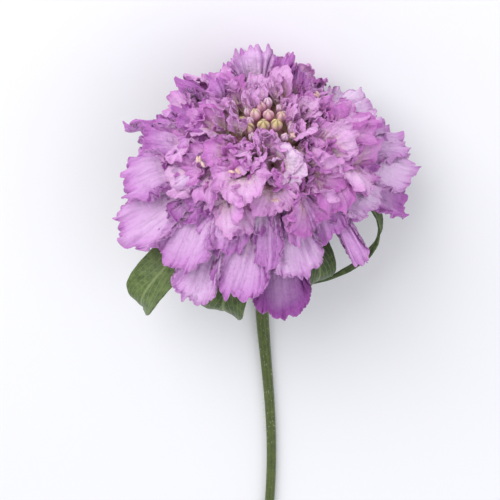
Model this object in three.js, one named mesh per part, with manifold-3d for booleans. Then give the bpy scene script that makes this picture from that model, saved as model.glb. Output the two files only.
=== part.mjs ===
// A cut pincushion flower (double scabious) lying on a table, its bloom turned up. Millimetres, +Z up.
//
// The head has its own frame: z runs along the bloom's axis, x to one side, and y towards the rim that
// lies on the table. Blades (petals and bracts) are thin closed sheets that follow a cubic curve, drawn
// at an azimuth round the axis in (outward, sideways, up) coordinates.
import * as THREE from "three";
import { mergeVertices } from "three/addons/utils/BufferGeometryUtils.js";
import Module from "manifold-3d";

const wasm = await Module();
wasm.setup();

const DEGREE = Math.PI / 180;
const GOLDEN_ANGLE = 137.508;

// How the flower lies
const AXIS_ABOVE_TABLE = 40;
const TIP_OVER = (90 - AXIS_ABOVE_TABLE) * DEGREE;
const HEAD_AXIS = new THREE.Vector3(0, Math.sin(TIP_OVER), Math.cos(TIP_OVER));
const HEAD_CENTRE = new THREE.Vector3(0, 67.4, 23.6);
const TABLE_SOFTNESS = 1.5;

// The dome that the florets stand on, and the green receptacle behind it
const DOME_RADIUS = 15;
const DOME_HEIGHT = 10.3;
const DOME_BACK = -4.6;
const DOME_BACK_RADIUS = 6.5;
const DOME_SIDES = 14;
const POCKET_RADIUS = 5.7;
const POCKET_FLOOR = 8.2;
const POCKET_SIDES = 20;
const ABOVE_BLOOM = 30;
const CLEARANCE = 0.3;
const RECEPTACLE_RADIUS = 5;
const RECEPTACLE_BACK = -8;
const RECEPTACLE_TAPER = { height: -9.6, radius: 3 };
const BRACT_LEVELS = [-5.9, -7.3];
const NECK_HEIGHT = -11.5;

// The stem
const STEM_LENGTH = 152;
const STEM_RADIUS = 1.4;
const NECK_EXTRA_RADIUS = 0.45;
const NECK_LENGTH = 40;
const STEM_SIDES = 12;
const STEM_STEP = 5;
const STEM_SWAY = 1.6;
const SWAY_PERIOD = 112;
const CUT_SLANT = 2.4;

// Blades
const PETAL_THICKNESS = 0.75;
const BRACT_THICKNESS = 0.7;
const ROOT_DEPTH = 1.6;
const TOOTH_DEPTH = 0.9;
const PETAL_CLAW = 0.22;
const BRACT_CUP = 0.22;
const MERGE_DISTANCE = 2e-3;

// What differs from petal to petal: each value is drawn between two limits. Sway and fall bend the petal by a
// share of its length, roundness is the share that the corners lose, and waves counts half waves across it.
const PETAL_CHARACTER = {
  sway: [-0.15, 0.15],
  fall: [-0.12, 0.36],
  roundness: [0.2, 0.34],
  cup: [-0.16, 0.22],
  waveShareOfWidth: [0.105, 0.18],
  waves: [1.5, 2.6],
};
const LOBE_SHARE_OF_WIDTH = 0.09;

// How a petal's ruffles grow to the tip, wander across it and frill its side margins
const RUFFLE = { growth: 1.5, wander: 1.3, wanderRate: 2.4, frill: 0.6, frillRate: 10 };

// The points across each row of a blade, from root to tip
const LARGE_ROWS = [2, 4, 8, 13];
const MIDDLE_ROWS = [2, 5, 9];
const SMALL_ROWS = [2, 3, 5];
const BRACT_ROWS = [2, 3, 3, 3, 3, 3, 3, 3, 3];

// Petals placed one by one: azimuth, reach from the axis, height of the tip, width, rise where the petal
// leaves the dome, and twist. Angles are in degrees, sizes in millimetres.
const MARGINAL_PETALS = [
  [-100, 35, -14, 16, 12, 4],
  [-120, 38, -17, 14, 4, -8],
  [-84, 36, -22, 15, -8, 10],
  [-62, 31, -12, 13, 14, 12],
  [-44, 35, -13, 10, 12, 34],
  [-27, 31, -9, 15, 14, 6],
  [-12, 37, -15, 14, -2, -12],
  [0, 38, -8, 15, 10, 6],
  [14, 37.5, -6, 14, 12, -14],
  [35, 33, -3, 15, 14, 8],
  [61, 27, -5, 13, 12, -10],
  [80, 31, -4, 8, 12, 24],
  [100, 33, 1, 15, 16, -4],
  [124, 26, -6, 12, 10, 10],
  [146, 32, -4, 14, 12, -10],
  [163, 37, -5, 11, 10, 48],
  [187, 38, -8, 15, 8, 6],
  [203, 41, -13, 16, 6, -6],
  [222, 36, -14, 15, 8, 4],
];
const MARGINAL_ROOT = [12.5, -1.5];
const UPPER_PETALS = [
  [-122, 29, -5, 14, 30, 6],
  [-98, 25, -2, 13, 42, -12],
  [-77, 30, -7, 15, 24, 8],
  [-50, 25, -3, 11, 32, 22],
  [-28, 24, 0, 12, 36, -16],
  [-8, 28, -3, 12, 24, 10],
  [14, 22, 4, 12, 44, -8],
  [38, 23, 1, 12, 40, 10],
  [66, 25, 2, 14, 46, -22],
  [126, 26, 1, 9, 48, 20],
  [148, 26, 2, 12, 36, 4],
  [171, 30, -1, 14, 24, 10],
  [192, 27, 0, 13, 32, -10],
  [214, 30, -5, 14, 22, 8],
];
const UPPER_ROOT = [12.8, 2];

// The bracts: azimuth, width, then the control points after the root as [outwards, sideways, up].
const BRACTS = [
  [218, 10.5, [20, 0, -15], [55, 0, -25], [35, 0, -38]],
  [246, 9.5, [17, 0, -17], [46, 0, -22], [24, 0, -33]],
  [272, 8, [14, 0, -8], [34, 2, -22], [17, 1, -33]],
  [302, 8.5, [16, 0, -13], [34, 0, -15], [23, -2, -27]],
  [352, 6, [33, 5, -12], [40, -8, -25], [13, -18, -29]],
  [20, 8, [15, 0, -11], [30, 0, -12], [23, 0, -19]],
  [52, 7.5, [13, 0, -10], [27, 0, -10], [20, 0, -14]],
  [88, 7.5, [12, 0, -10], [24, 0, -8], [18, 0, -11]],
  [124, 7.5, [13, 0, -10], [27, 0, -11], [20, 0, -15]],
  [151, 8, [15, 0, -11], [31, 0, -13], [24, 0, -19]],
  [181, 7.5, [16, 0, -12], [36, 2, -17], [26, 4, -25]],
];

// The buds and florets of the dome follow a sunflower spiral, numbered from the middle outwards.
const BUD_COUNT = 19;
const SMALL_FLORETS = 16;
const MIDDLE_FLORETS = 16;
const SPIRAL_END = BUD_COUNT + SMALL_FLORETS + MIDDLE_FLORETS;

// The florets from the innermost to the outermost: angle of the root from the axis, lean above the rim's
// plane, length and width of the lip, and how much a floret may differ from the rule.
const DOME_FLORETS = {
  polar: [27, 74],
  lean: [92, 28],
  length: [6.5, 12],
  width: [5, 10.5],
  unevenTurn: 14,
  unevenLean: 16,
  unevenTwist: 40,
  unevenSize: 0.15,
  lift: 14,
};
const INNER_LIP = { turn: 11, steeper: 32, size: 0.8 };

const BUD_RADIUS = [1.15, 1.4];
const BUD_SLENDERNESS = 1.35;
const BUD_LIFT = 2.9;
const CUSHION_ROUNDING = 0.032;

const mix = (a, b, share) => a + (b - a) * share;

// A repeatable draw between 0 and 1 for floret `index`, a different one for each `salt`.
function draw(index, salt) {
  const value = Math.sin(index * 12.9898 + salt * 78.233) * 43758.5453;
  return value - Math.floor(value);
}

const drawBetween = ([low, high], index, salt) => mix(low, high, draw(index, salt));

// The half width of a petal as a share of its full half width: a narrow claw that fans out to the lip.
function petalOutline(t) {
  return PETAL_CLAW + (1 - PETAL_CLAW) * Math.sin((Math.PI / 2) * Math.pow(t, 1.05));
}

// The half width of a bract: a short stalk, a broad middle and a tip drawn to a blunt point.
function bractOutline(t) {
  const widening = 0.36 + 0.64 * Math.sin((Math.PI / 2) * Math.min(1, t / 0.45));
  const tip = Math.max(0, (t - 0.55) / 0.45);
  return widening * (1 - 0.8 * Math.pow(tip, 1.8));
}

// Petal number `seed`, from `root` on the dome to `tip`, which are both [reach from the axis, height].
function petal({ seed, azimuth, root, tip, width, rise, twist, rows }) {
  const span = Math.hypot(tip[0] - root[0], tip[1] - root[1]);
  const away = new THREE.Vector3(Math.cos(rise * DEGREE), 0, Math.sin(rise * DEGREE));
  const sway = span * drawBetween(PETAL_CHARACTER.sway, seed, 1);
  const fall = span * drawBetween(PETAL_CHARACTER.fall, seed, 2);
  const start = new THREE.Vector3(root[0], 0, root[1]);
  return {
    azimuth,
    curve: new THREE.CubicBezierCurve3(
      start.clone().addScaledVector(away, -ROOT_DEPTH),
      start.clone().addScaledVector(away, 0.4 * span),
      new THREE.Vector3(tip[0] - 0.3 * span, 0.5 * sway, tip[1] + fall),
      new THREE.Vector3(tip[0], sway, tip[1]),
    ),
    outline: petalOutline,
    halfWidth: width / 2,
    roundness: drawBetween(PETAL_CHARACTER.roundness, seed, 3),
    cup: drawBetween(PETAL_CHARACTER.cup, seed, 4),
    waveHeight: width * drawBetween(PETAL_CHARACTER.waveShareOfWidth, seed, 5),
    waves: drawBetween(PETAL_CHARACTER.waves, seed, 6),
    phase: 2 * Math.PI * draw(seed, 7),
    lobeDepth: (LOBE_SHARE_OF_WIDTH * width) / span,
    toothDepth: TOOTH_DEPTH / span,
    twist: twist * DEGREE,
    thickness: PETAL_THICKNESS,
    rows,
  };
}

// How far the margin at `u` falls short of the blade's full length, as a share of it. Every other point is
// cut back, which leaves the lobes of the lip with blunt teeth.
function shortfall(blade, u, isCutBack) {
  const { roundness, lobeDepth, toothDepth, waves, phase } = blade;
  const rounding = roundness * Math.pow(Math.abs(u), 2.6);
  const lobes = lobeDepth * Math.abs(Math.sin(0.5 * Math.PI * waves * u + phase));
  return rounding + lobes + (isCutBack ? toothDepth : 0);
}

// How far the ruffled sheet stands off its middle surface.
function ruffle(blade, u, t) {
  const { waveHeight, waves, phase } = blade;
  const wander = RUFFLE.wander * Math.sin(RUFFLE.wanderRate * t + phase);
  const folds = Math.pow(t, RUFFLE.growth) * Math.sin(Math.PI * waves * u + phase + wander);
  const frillPhase = RUFFLE.frillRate * t + 1.7 * phase + (u > 0 ? 0 : 2);
  const frill = RUFFLE.frill * t * Math.abs(u) ** 3 * Math.sin(frillPhase);
  return waveHeight * (folds + frill);
}

// A point of the blade, `lift` off its middle surface: u runs across it from -1 to 1, and t along it from 0 to 1.
function bladePoint(blade, { u, t, isCutBack }, lift) {
  const along = t * (1 - shortfall(blade, u, isCutBack));
  const middle = blade.curve.getPoint(along);
  const ahead = blade.curve.getTangent(along);
  const up = new THREE.Vector3().crossVectors(ahead, new THREE.Vector3(0, 1, 0)).normalize();
  const side = new THREE.Vector3().crossVectors(up, ahead);
  const turn = blade.twist * along;
  const across = side.clone().multiplyScalar(Math.cos(turn)).addScaledVector(up, Math.sin(turn));
  const off = up.clone().multiplyScalar(Math.cos(turn)).addScaledVector(side, -Math.sin(turn));
  const half = blade.halfWidth * blade.outline(t);
  const relief = blade.cup * u * u * half + ruffle(blade, u, t);
  const at = middle.addScaledVector(across, u * half).addScaledVector(off, relief);
  const onTable = settle(roundAxis(at, blade.azimuth));
  return onTable.addScaledVector(roundAxis(off, blade.azimuth), lift);
}

// (outward, sideways, up) at an azimuth as a vector of the head's frame.
function roundAxis(v, azimuth) {
  const a = azimuth * DEGREE;
  return new THREE.Vector3(
    v.x * Math.cos(a) - v.y * Math.sin(a),
    v.x * Math.sin(a) + v.y * Math.cos(a),
    v.z,
  );
}

// A blade that would reach into the table bends along it instead.
function settle(p) {
  const base = 0.6 * PETAL_THICKNESS;
  const height = HEAD_CENTRE.z - p.y * Math.sin(TIP_OVER) + p.z * Math.cos(TIP_OVER);
  if (height >= TABLE_SOFTNESS) return p;
  const room = TABLE_SOFTNESS - base;
  const raised = base + room * Math.exp((height - TABLE_SOFTNESS) / room) - height;
  return p.add(new THREE.Vector3(0, -Math.sin(TIP_OVER) * raised, Math.cos(TIP_OVER) * raised));
}

// The triangles between two rows of `a` and `b` points whose first indices are `ia` and `ib`.
function bridgeRows(a, b, ia, ib) {
  const faces = [];
  let i = 0;
  let j = 0;
  while (i < a - 1 || j < b - 1) {
    const nextA = (i + 1) / (a - 1);
    const nextB = (j + 1) / (b - 1);
    if (j === b - 1 || (i < a - 1 && nextA <= nextB)) {
      faces.push([ia + i, ia + i + 1, ib + j]);
      i += 1;
    } else {
      faces.push([ia + i, ib + j + 1, ib + j]);
      j += 1;
    }
  }
  return faces;
}

// The closed thin sheet of a blade. Both faces have the same triangles.
function bladeGeometry(blade) {
  const { rows, thickness } = blade;
  const last = rows.length - 1;
  const places = [];
  const starts = [];
  rows.forEach((count, row) => {
    starts.push(places.length);
    for (let i = 0; i < count; i++)
      places.push({ u: mix(-1, 1, i / (count - 1)), t: row / last, isCutBack: row === last && i % 2 === 1 });
  });
  const total = places.length;
  const positions = [];
  for (const lift of [-thickness / 2, thickness / 2])
    for (const place of places) positions.push(...bladePoint(blade, place, lift).toArray());

  const index = [];
  for (let row = 0; row + 1 < rows.length; row++)
    for (const [a, b, c] of bridgeRows(rows[row], rows[row + 1], starts[row], starts[row + 1]))
      index.push(a, b, c, total + a, total + c, total + b);

  const border = [];
  for (let i = 0; i < rows[0]; i++) border.push(starts[0] + i);
  for (let row = 1; row <= last; row++) border.push(starts[row] + rows[row] - 1);
  for (let i = rows[last] - 2; i >= 0; i--) border.push(starts[last] + i);
  for (let row = last - 1; row > 0; row--) border.push(starts[row]);
  border.forEach((a, k) => {
    const b = border[(k + 1) % border.length];
    index.push(a, total + b, b, a, total + a, total + b);
  });
  const geometry = new THREE.BufferGeometry();
  geometry.setAttribute("position", new THREE.Float32BufferAttribute(positions, 3));
  geometry.setIndex(index);
  return geometry;
}

// A closed geometry as a solid that can be joined and cut.
function solidOf(geometry) {
  const bare = geometry.clone();
  bare.deleteAttribute("normal");
  bare.deleteAttribute("uv");
  const merged = mergeVertices(bare, MERGE_DISTANCE);
  const triangles = [];
  const index = merged.index.array;
  for (let i = 0; i < index.length; i += 3) {
    const [a, b, c] = [index[i], index[i + 1], index[i + 2]];
    if (a !== b && b !== c && a !== c) triangles.push(a, b, c);
  }
  return new wasm.Manifold(
    new wasm.Mesh({
      numProp: 3,
      vertProperties: merged.attributes.position.array,
      triVerts: new Uint32Array(triangles),
    }),
  );
}

// The solid's largest body as a geometry: sealed hollows are filled and loose scraps dropped.
function largestBody(solid) {
  const mesh = solid.decompose().reduce((a, b) => (b.volume() > a.volume() ? b : a)).getMesh();
  const geometry = new THREE.BufferGeometry();
  geometry.setAttribute("position", new THREE.Float32BufferAttribute(mesh.vertProperties, 3));
  geometry.setIndex(new THREE.BufferAttribute(mesh.triVerts, 1));
  return geometry;
}

// The same once more after close vertices are merged, which can pinch off another scrap.
const geometryOf = (solid) => largestBody(solidOf(largestBody(solid)));

const joined = (solids) => solids.reduce((a, b) => a.add(b));

// A solid turned round the head's axis from a profile of [radius, height] points, from bottom to top.
function turned(profile, sides) {
  const points = profile.map(([radius, height]) => new THREE.Vector2(radius, height));
  return new THREE.LatheGeometry(points, sides).rotateX(Math.PI / 2);
}

// The dome's surface at a polar angle from the axis.
const onDome = (polar) => [DOME_RADIUS * Math.sin(polar), DOME_HEIGHT * Math.cos(polar)];

function domeCore() {
  const profile = [
    [0, DOME_BACK],
    [DOME_BACK_RADIUS, DOME_BACK],
    [0.83 * DOME_RADIUS, 0.52 * DOME_BACK],
  ];
  const start = Math.asin(POCKET_RADIUS / DOME_RADIUS);
  const steps = 3;
  for (let i = 0; i <= steps; i++) profile.push(onDome(mix(90 * DEGREE, start, i / steps)));
  profile.push([POCKET_RADIUS, POCKET_FLOOR], [0, POCKET_FLOOR]);
  return turned(profile, DOME_SIDES);
}

// The petals of a table, all rooted at the same place on the dome's side.
function placedPetals(table, firstSeed, root, rows) {
  return table.map(([azimuth, reach, height, width, rise, twist], i) =>
    petal({ seed: firstSeed + i, azimuth, root, tip: [reach, height], width, rise, twist, rows }),
  );
}

// The lips of floret `k` on the dome: one on the small florets, and a steeper inner one too on the others.
function domeFloret(k) {
  const { polar, lean, length, width, unevenTurn, unevenLean, unevenTwist, unevenSize, lift } = DOME_FLORETS;
  const outwards = (k - BUD_COUNT) / (SPIRAL_END - BUD_COUNT);
  const root = onDome(mix(...polar, Math.pow(outwards, 0.72)) * DEGREE);
  const azimuth = k * GOLDEN_ANGLE + unevenTurn * (draw(k, 11) - 0.5);
  const sizes = [1 - unevenSize, 1 + unevenSize];
  const lipLength = mix(...length, outwards) * drawBetween(sizes, k, 12);
  const lipWidth = mix(...width, outwards) * drawBetween(sizes, k, 13);
  const lipLean = mix(...lean, Math.pow(outwards, 0.6)) + unevenLean * (draw(k, 14) - 0.5);
  const lip = ({ turn, steeper, size }, place) => {
    const heading = (lipLean + steeper) * DEGREE;
    const reach = size * lipLength;
    return petal({
      seed: k * 4 + place,
      azimuth: azimuth + turn,
      root,
      tip: [root[0] + reach * Math.cos(heading), root[1] + reach * Math.sin(heading)],
      width: size * lipWidth,
      rise: lipLean + steeper + lift,
      twist: unevenTwist * (draw(k, 15 + place) - 0.5),
      rows: SMALL_ROWS,
    });
  };
  const isSmall = k < BUD_COUNT + SMALL_FLORETS;
  const outerLip = { turn: 0, steeper: 0, size: 1 };
  return (isSmall ? [outerLip] : [outerLip, INNER_LIP]).map(lip);
}

function bloom() {
  const blades = [
    ...placedPetals(MARGINAL_PETALS, 0, MARGINAL_ROOT, LARGE_ROWS),
    ...placedPetals(UPPER_PETALS, 40, UPPER_ROOT, MIDDLE_ROWS),
  ];
  for (let k = BUD_COUNT; k < SPIRAL_END; k++) blades.push(...domeFloret(k));
  const budSpace = turned(
    [
      [0, POCKET_FLOOR],
      [POCKET_RADIUS, POCKET_FLOOR],
      [POCKET_RADIUS, ABOVE_BLOOM],
      [0, ABOVE_BLOOM],
    ],
    POCKET_SIDES,
  );
  const parts = [domeCore(), ...blades.map(bladeGeometry)].map(solidOf);
  return geometryOf(joined(parts).subtract(solidOf(budSpace)));
}

// The closed buds in the middle of the bloom, on a small cushion that sits in the dome's pocket.
function centreBuds() {
  const rim = POCKET_RADIUS - CLEARANCE;
  const floor = POCKET_FLOOR + CLEARANCE;
  const cushion = turned(
    [
      [0, floor],
      [rim, floor],
      [rim, floor + 1],
      [rim * 0.7, floor + 1.9],
      [0, floor + 2.4],
    ],
    POCKET_SIDES,
  );
  const solids = [solidOf(cushion)];
  for (let k = 0; k < BUD_COUNT; k++) {
    const reach = (rim - BUD_RADIUS[1]) * Math.sqrt(k / (BUD_COUNT - 1));
    const bud = new THREE.SphereGeometry(drawBetween(BUD_RADIUS, k, 21), 7, 5);
    bud.scale(1, 1, BUD_SLENDERNESS);
    bud.rotateZ(k);
    const at = new THREE.Vector3(reach, 0, floor + BUD_LIFT - CUSHION_ROUNDING * reach * reach);
    bud.translate(...roundAxis(at, k * GOLDEN_ANGLE).toArray());
    solids.push(solidOf(bud));
  }
  return geometryOf(joined(solids));
}

// A bract leaves the receptacle, arches out under the petals and curls back at its tip.
function bract([azimuth, width, ...controls], i) {
  const root = new THREE.Vector3(RECEPTACLE_RADIUS + CLEARANCE, 0, BRACT_LEVELS[i % BRACT_LEVELS.length]);
  return {
    azimuth,
    curve: new THREE.CubicBezierCurve3(root, ...controls.map((p) => new THREE.Vector3(...p))),
    outline: bractOutline,
    halfWidth: width / 2,
    roundness: 0,
    cup: BRACT_CUP,
    waveHeight: 0,
    waves: 0,
    phase: 0,
    lobeDepth: 0,
    toothDepth: 0,
    twist: 0,
    thickness: BRACT_THICKNESS,
    rows: BRACT_ROWS,
  };
}

// The stem's middle line in the part's frame at a distance from the neck: an arc to the table, then along it.
function stemPoint(distance) {
  const slope = AXIS_ABOVE_TABLE * DEGREE;
  const neck = HEAD_CENTRE.clone().addScaledVector(HEAD_AXIS, NECK_HEIGHT);
  const arcRadius = (neck.z - STEM_RADIUS) / (1 - Math.cos(slope));
  const arcLength = arcRadius * slope;
  const turnedBy = Math.min(distance, arcLength) / arcRadius;
  const straight = Math.max(0, distance - arcLength);
  return new THREE.Vector3(
    -STEM_SWAY * Math.sin((2 * Math.PI * distance) / SWAY_PERIOD),
    neck.y - arcRadius * (Math.sin(slope) - Math.sin(slope - turnedBy)) - straight,
    neck.z - arcRadius * (Math.cos(slope - turnedBy) - Math.cos(slope)),
  );
}

function stemRadius(distance) {
  return STEM_RADIUS + NECK_EXTRA_RADIUS * Math.pow(1 - Math.min(1, distance / NECK_LENGTH), 2);
}

// The stem, with the receptacle that carries the dome and the bracts on top and a slanting cut at its end.
function stem() {
  const top = DOME_BACK - CLEARANCE;
  const sections = [
    [top, RECEPTACLE_RADIUS - 0.6],
    [top - 0.5, RECEPTACLE_RADIUS],
    [RECEPTACLE_BACK, RECEPTACLE_RADIUS - 0.4],
    [RECEPTACLE_TAPER.height, RECEPTACLE_TAPER.radius],
  ].map(([height, radius]) => [HEAD_CENTRE.clone().addScaledVector(HEAD_AXIS, height), radius]);
  const steps = Math.round(STEM_LENGTH / STEM_STEP);
  for (let i = 0; i <= steps; i++) {
    const distance = (STEM_LENGTH * i) / steps;
    sections.push([stemPoint(distance), stemRadius(distance)]);
  }

  const side = new THREE.Vector3(1, 0, 0);
  const positions = [];
  sections.forEach(([centre, radius], i) => {
    const before = sections[Math.max(0, i - 1)][0];
    const after = sections[Math.min(sections.length - 1, i + 1)][0];
    const along = after.clone().sub(before).normalize();
    const up = new THREE.Vector3().crossVectors(side, along).normalize();
    const across = new THREE.Vector3().crossVectors(along, up);
    for (let k = 0; k < STEM_SIDES; k++) {
      const angle = (2 * Math.PI * k) / STEM_SIDES;
      const p = centre.clone();
      p.addScaledVector(across, radius * Math.cos(angle)).addScaledVector(up, radius * Math.sin(angle));
      if (i === sections.length - 1) p.addScaledVector(along, CUT_SLANT * Math.sin(angle));
      positions.push(...p.toArray());
    }
  });
  const last = (sections.length - 1) * STEM_SIDES;
  const index = [];
  for (let i = 0; i < last; i += STEM_SIDES)
    for (let k = 0; k < STEM_SIDES; k++) {
      const next = (k + 1) % STEM_SIDES;
      index.push(i + k, i + STEM_SIDES + next, i + next);
      index.push(i + k, i + STEM_SIDES + k, i + STEM_SIDES + next);
    }
  for (let k = 1; k + 1 < STEM_SIDES; k++) {
    index.push(0, k, k + 1);
    index.push(last, last + k + 1, last + k);
  }
  const geometry = new THREE.BufferGeometry();
  geometry.setAttribute("position", new THREE.Float32BufferAttribute(positions, 3));
  geometry.setIndex(index);
  return geometry;
}

const petalMauve = new THREE.MeshStandardMaterial({ color: 0xc68ad3, roughness: 0.6, metalness: 0 });
const budGreen = new THREE.MeshStandardMaterial({ color: 0xc9bd86, roughness: 0.6, metalness: 0 });
const stemGreen = new THREE.MeshStandardMaterial({ color: 0x5f7a3c, roughness: 0.65, metalness: 0 });
const bractGreen = new THREE.MeshStandardMaterial({ color: 0x5b7d3e, roughness: 0.7, metalness: 0 });

function named(name, geometry, material) {
  const mesh = new THREE.Mesh(geometry, material);
  mesh.name = name;
  return mesh;
}

const head = new THREE.Group();
head.position.copy(HEAD_CENTRE);
head.rotation.x = -TIP_OVER;
head.add(named("bloom", bloom(), petalMauve));
head.add(named("centre_buds", centreBuds(), budGreen));
BRACTS.forEach((sizes, i) => {
  const geometry = geometryOf(solidOf(bladeGeometry(bract(sizes, i))));
  head.add(named(`bract_${String(i + 1).padStart(2, "0")}`, geometry, bractGreen));
});

const flower = new THREE.Group();
flower.add(head, named("stem", stem(), stemGreen));

export default flower;
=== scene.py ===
"""Looks of a cut pincushion flower, a double scabious, lying with its bloom turned up on a pale table.

The flower is built from the stem upwards: the stem, its bracts, the dome of the bloom, the rings of
petals, the florets and the closed buds in the middle. Lengths are in millimetres and angles in degrees,
unless a docstring says otherwise.
"""

import logging
import math
from collections.abc import Callable, Sequence
from dataclasses import dataclass, field
from enum import Enum

import bpy
import numpy as np
from mathutils import Matrix, Vector


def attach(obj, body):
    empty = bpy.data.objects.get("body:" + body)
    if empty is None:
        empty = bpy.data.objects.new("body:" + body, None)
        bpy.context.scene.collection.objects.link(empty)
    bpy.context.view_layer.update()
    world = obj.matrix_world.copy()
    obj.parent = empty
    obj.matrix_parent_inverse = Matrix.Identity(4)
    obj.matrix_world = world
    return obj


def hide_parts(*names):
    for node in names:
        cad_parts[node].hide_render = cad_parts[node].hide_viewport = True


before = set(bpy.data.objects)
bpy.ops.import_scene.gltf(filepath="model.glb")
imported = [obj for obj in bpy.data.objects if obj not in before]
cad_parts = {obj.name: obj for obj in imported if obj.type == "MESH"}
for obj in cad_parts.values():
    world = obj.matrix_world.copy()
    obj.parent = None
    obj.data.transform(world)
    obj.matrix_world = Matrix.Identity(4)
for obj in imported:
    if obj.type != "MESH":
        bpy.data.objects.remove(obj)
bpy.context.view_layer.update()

LOG = logging.getLogger("flower")

Point = tuple[float, float, float]
Pair = tuple[float, float]
Shape = Callable[[np.ndarray, np.ndarray], np.ndarray]

MM = 0.001
GOLDEN_ANGLE = 137.508
# The directions along the axes, of whichever frame the points are in.
AXIS_X, AXIS_Y, AXIS_Z = np.eye(3)

# The head's frame has z along the head's axis, which leans from the table's normal, and y up its back.
TIP_OVER = math.radians(50)
HEAD_TURN = np.array(
    [
        [1.0, 0.0, 0.0],
        [0.0, math.cos(TIP_OVER), math.sin(TIP_OVER)],
        [0.0, -math.sin(TIP_OVER), math.cos(TIP_OVER)],
    ]
)
HEAD_CENTRE = np.array([0.0, 67.4, 23.6])
HEAD_BACK, HEAD_AXIS = HEAD_TURN[:, 1], HEAD_TURN[:, 2]
TABLE_SOFTNESS = 1.5
TABLE_BASE = 0.45

DOME_RADIUS = 15.0
DOME_HEIGHT = 10.3
POCKET_FLOOR = 8.2


def mix(a: float, b: float, share: float) -> float:
    """The value that lies `share` of the way from a to b."""
    return a + (b - a) * share


def draw(index: float, salt: float) -> float:
    """A repeatable draw between 0 and 1 for piece `index`, a different one for each `salt`."""
    value = math.sin(index * 12.9898 + salt * 78.233) * 43758.5453
    return value - math.floor(value)


def draw_between(ends: Pair, index: float, salt: float) -> float:
    """A repeatable draw between two ends."""
    return mix(*ends, draw(index, salt))


def smooth(edge0: float, edge1: float, x: np.ndarray) -> np.ndarray:
    """A smooth step from 0 at edge0 to 1 at edge1."""
    s = np.clip((x - edge0) / (edge1 - edge0), 0.0, 1.0)
    return s * s * (3.0 - 2.0 * s)


def unit(vectors: np.ndarray) -> np.ndarray:
    """Vectors at length one."""
    return vectors / np.linalg.norm(vectors, axis=-1, keepdims=True)


# Places on the flower


def ring_seat(azimuth: float) -> np.ndarray:
    """The seat of a piece that leaves the head's own axis.

    Args:
        azimuth: The head's azimuth that it points to.

    Returns:
        Outwards, sideways, up and origin, as columns, in the head's frame.
    """
    a = math.radians(azimuth)
    c, s = math.cos(a), math.sin(a)
    return np.array([[c, -s, 0.0, 0.0], [s, c, 0.0, 0.0], [0.0, 0.0, 1.0, 0.0]])


def seat_at(origin: np.ndarray, up: np.ndarray, azimuth: float, turn: float) -> np.ndarray:
    """The seat of a piece at a point of the head, turned about a direction there.

    Args:
        origin: The point.
        up: The direction, of length one.
        azimuth: The head's azimuth that a piece with no turn points to.
        turn: The piece's turn about the direction.

    Returns:
        Outwards, sideways, up and origin, as columns, in the head's frame.
    """
    away = round_axis(AXIS_X, azimuth)
    level = unit(away - up * np.dot(away, up))
    b = math.radians(turn)
    outwards = level * math.cos(b) + np.cross(up, level) * math.sin(b)
    return np.column_stack([outwards, np.cross(up, outwards), up, origin])


def seated(points: np.ndarray, seat: np.ndarray) -> np.ndarray:
    """Points given as outwards, sideways and up of a seat, in the head's frame."""
    return points @ seat[:, :3].T + seat[:, 3]


def round_axis(points: np.ndarray, azimuth: float) -> np.ndarray:
    """Points or directions given as outwards, sideways and up, turned to an azimuth of the head."""
    return seated(points, ring_seat(azimuth))


def to_part(points: np.ndarray) -> np.ndarray:
    """Points of the head's frame in the part's frame."""
    return points @ HEAD_TURN.T + HEAD_CENTRE


def settle(points: np.ndarray) -> np.ndarray:
    """Raises what would reach into the table to a little above it, as a blade bends there.

    Args:
        points: Points of the head's frame.

    Returns:
        The points, with the low ones raised at right angles to the table.
    """
    room = TABLE_SOFTNESS - TABLE_BASE
    low = np.minimum(HEAD_CENTRE[2] + points @ HEAD_TURN[2], TABLE_SOFTNESS)
    raised = TABLE_BASE + room * np.exp((low - TABLE_SOFTNESS) / room) - low
    return points + raised[..., None] * HEAD_TURN[2]


def on_dome(polar: float) -> Pair:
    """The dome's surface at a polar angle in radians, as reach from the axis and height."""
    return DOME_RADIUS * math.sin(polar), DOME_HEIGHT * math.cos(polar)


def rings(
    centres: np.ndarray, side: np.ndarray, up: np.ndarray, radii: np.ndarray, angles: np.ndarray
) -> np.ndarray:
    """Points round a line.

    Args:
        centres: The point of the line that each wanted point lies round.
        side: The direction that angles start from, one for all or one each.
        up: The direction a quarter turn on.
        radii: How far each wanted point lies from the line.
        angles: Its angle round the line, in radians.

    Returns:
        The points.
    """
    return centres + side * (radii * np.cos(angles))[:, None] + up * (radii * np.sin(angles))[:, None]


def sweep(
    centres: np.ndarray, radii: np.ndarray, side: np.ndarray, angles: np.ndarray, row: np.ndarray
) -> np.ndarray:
    """Points of a tube along a bent line.

    Args:
        centres: The middle line, one point a row.
        radii: The radius of each wanted point.
        side: A direction that no part of the line runs along.
        angles: The angle round the line of each wanted point, in radians.
        row: The row number of each wanted point.

    Returns:
        The points.
    """
    along = unit(np.gradient(centres, axis=0))
    up = unit(np.cross(side, along))
    return rings(centres[row], np.cross(along, up)[row], up[row], radii, angles)


# Nodes and colours


def linear(colour: str) -> tuple[float, float, float, float]:
    """A colour in the linear values that nodes take.

    Args:
        colour: The colour as an sRGB hex value.

    Returns:
        Red, green, blue and a full alpha.
    """
    channels = [int(colour[i : i + 2], 16) / 255 for i in (1, 3, 5)]
    r, g, b = (c / 12.92 if c <= 0.04045 else ((c + 0.055) / 1.055) ** 2.4 for c in channels)
    return r, g, b, 1.0


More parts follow.
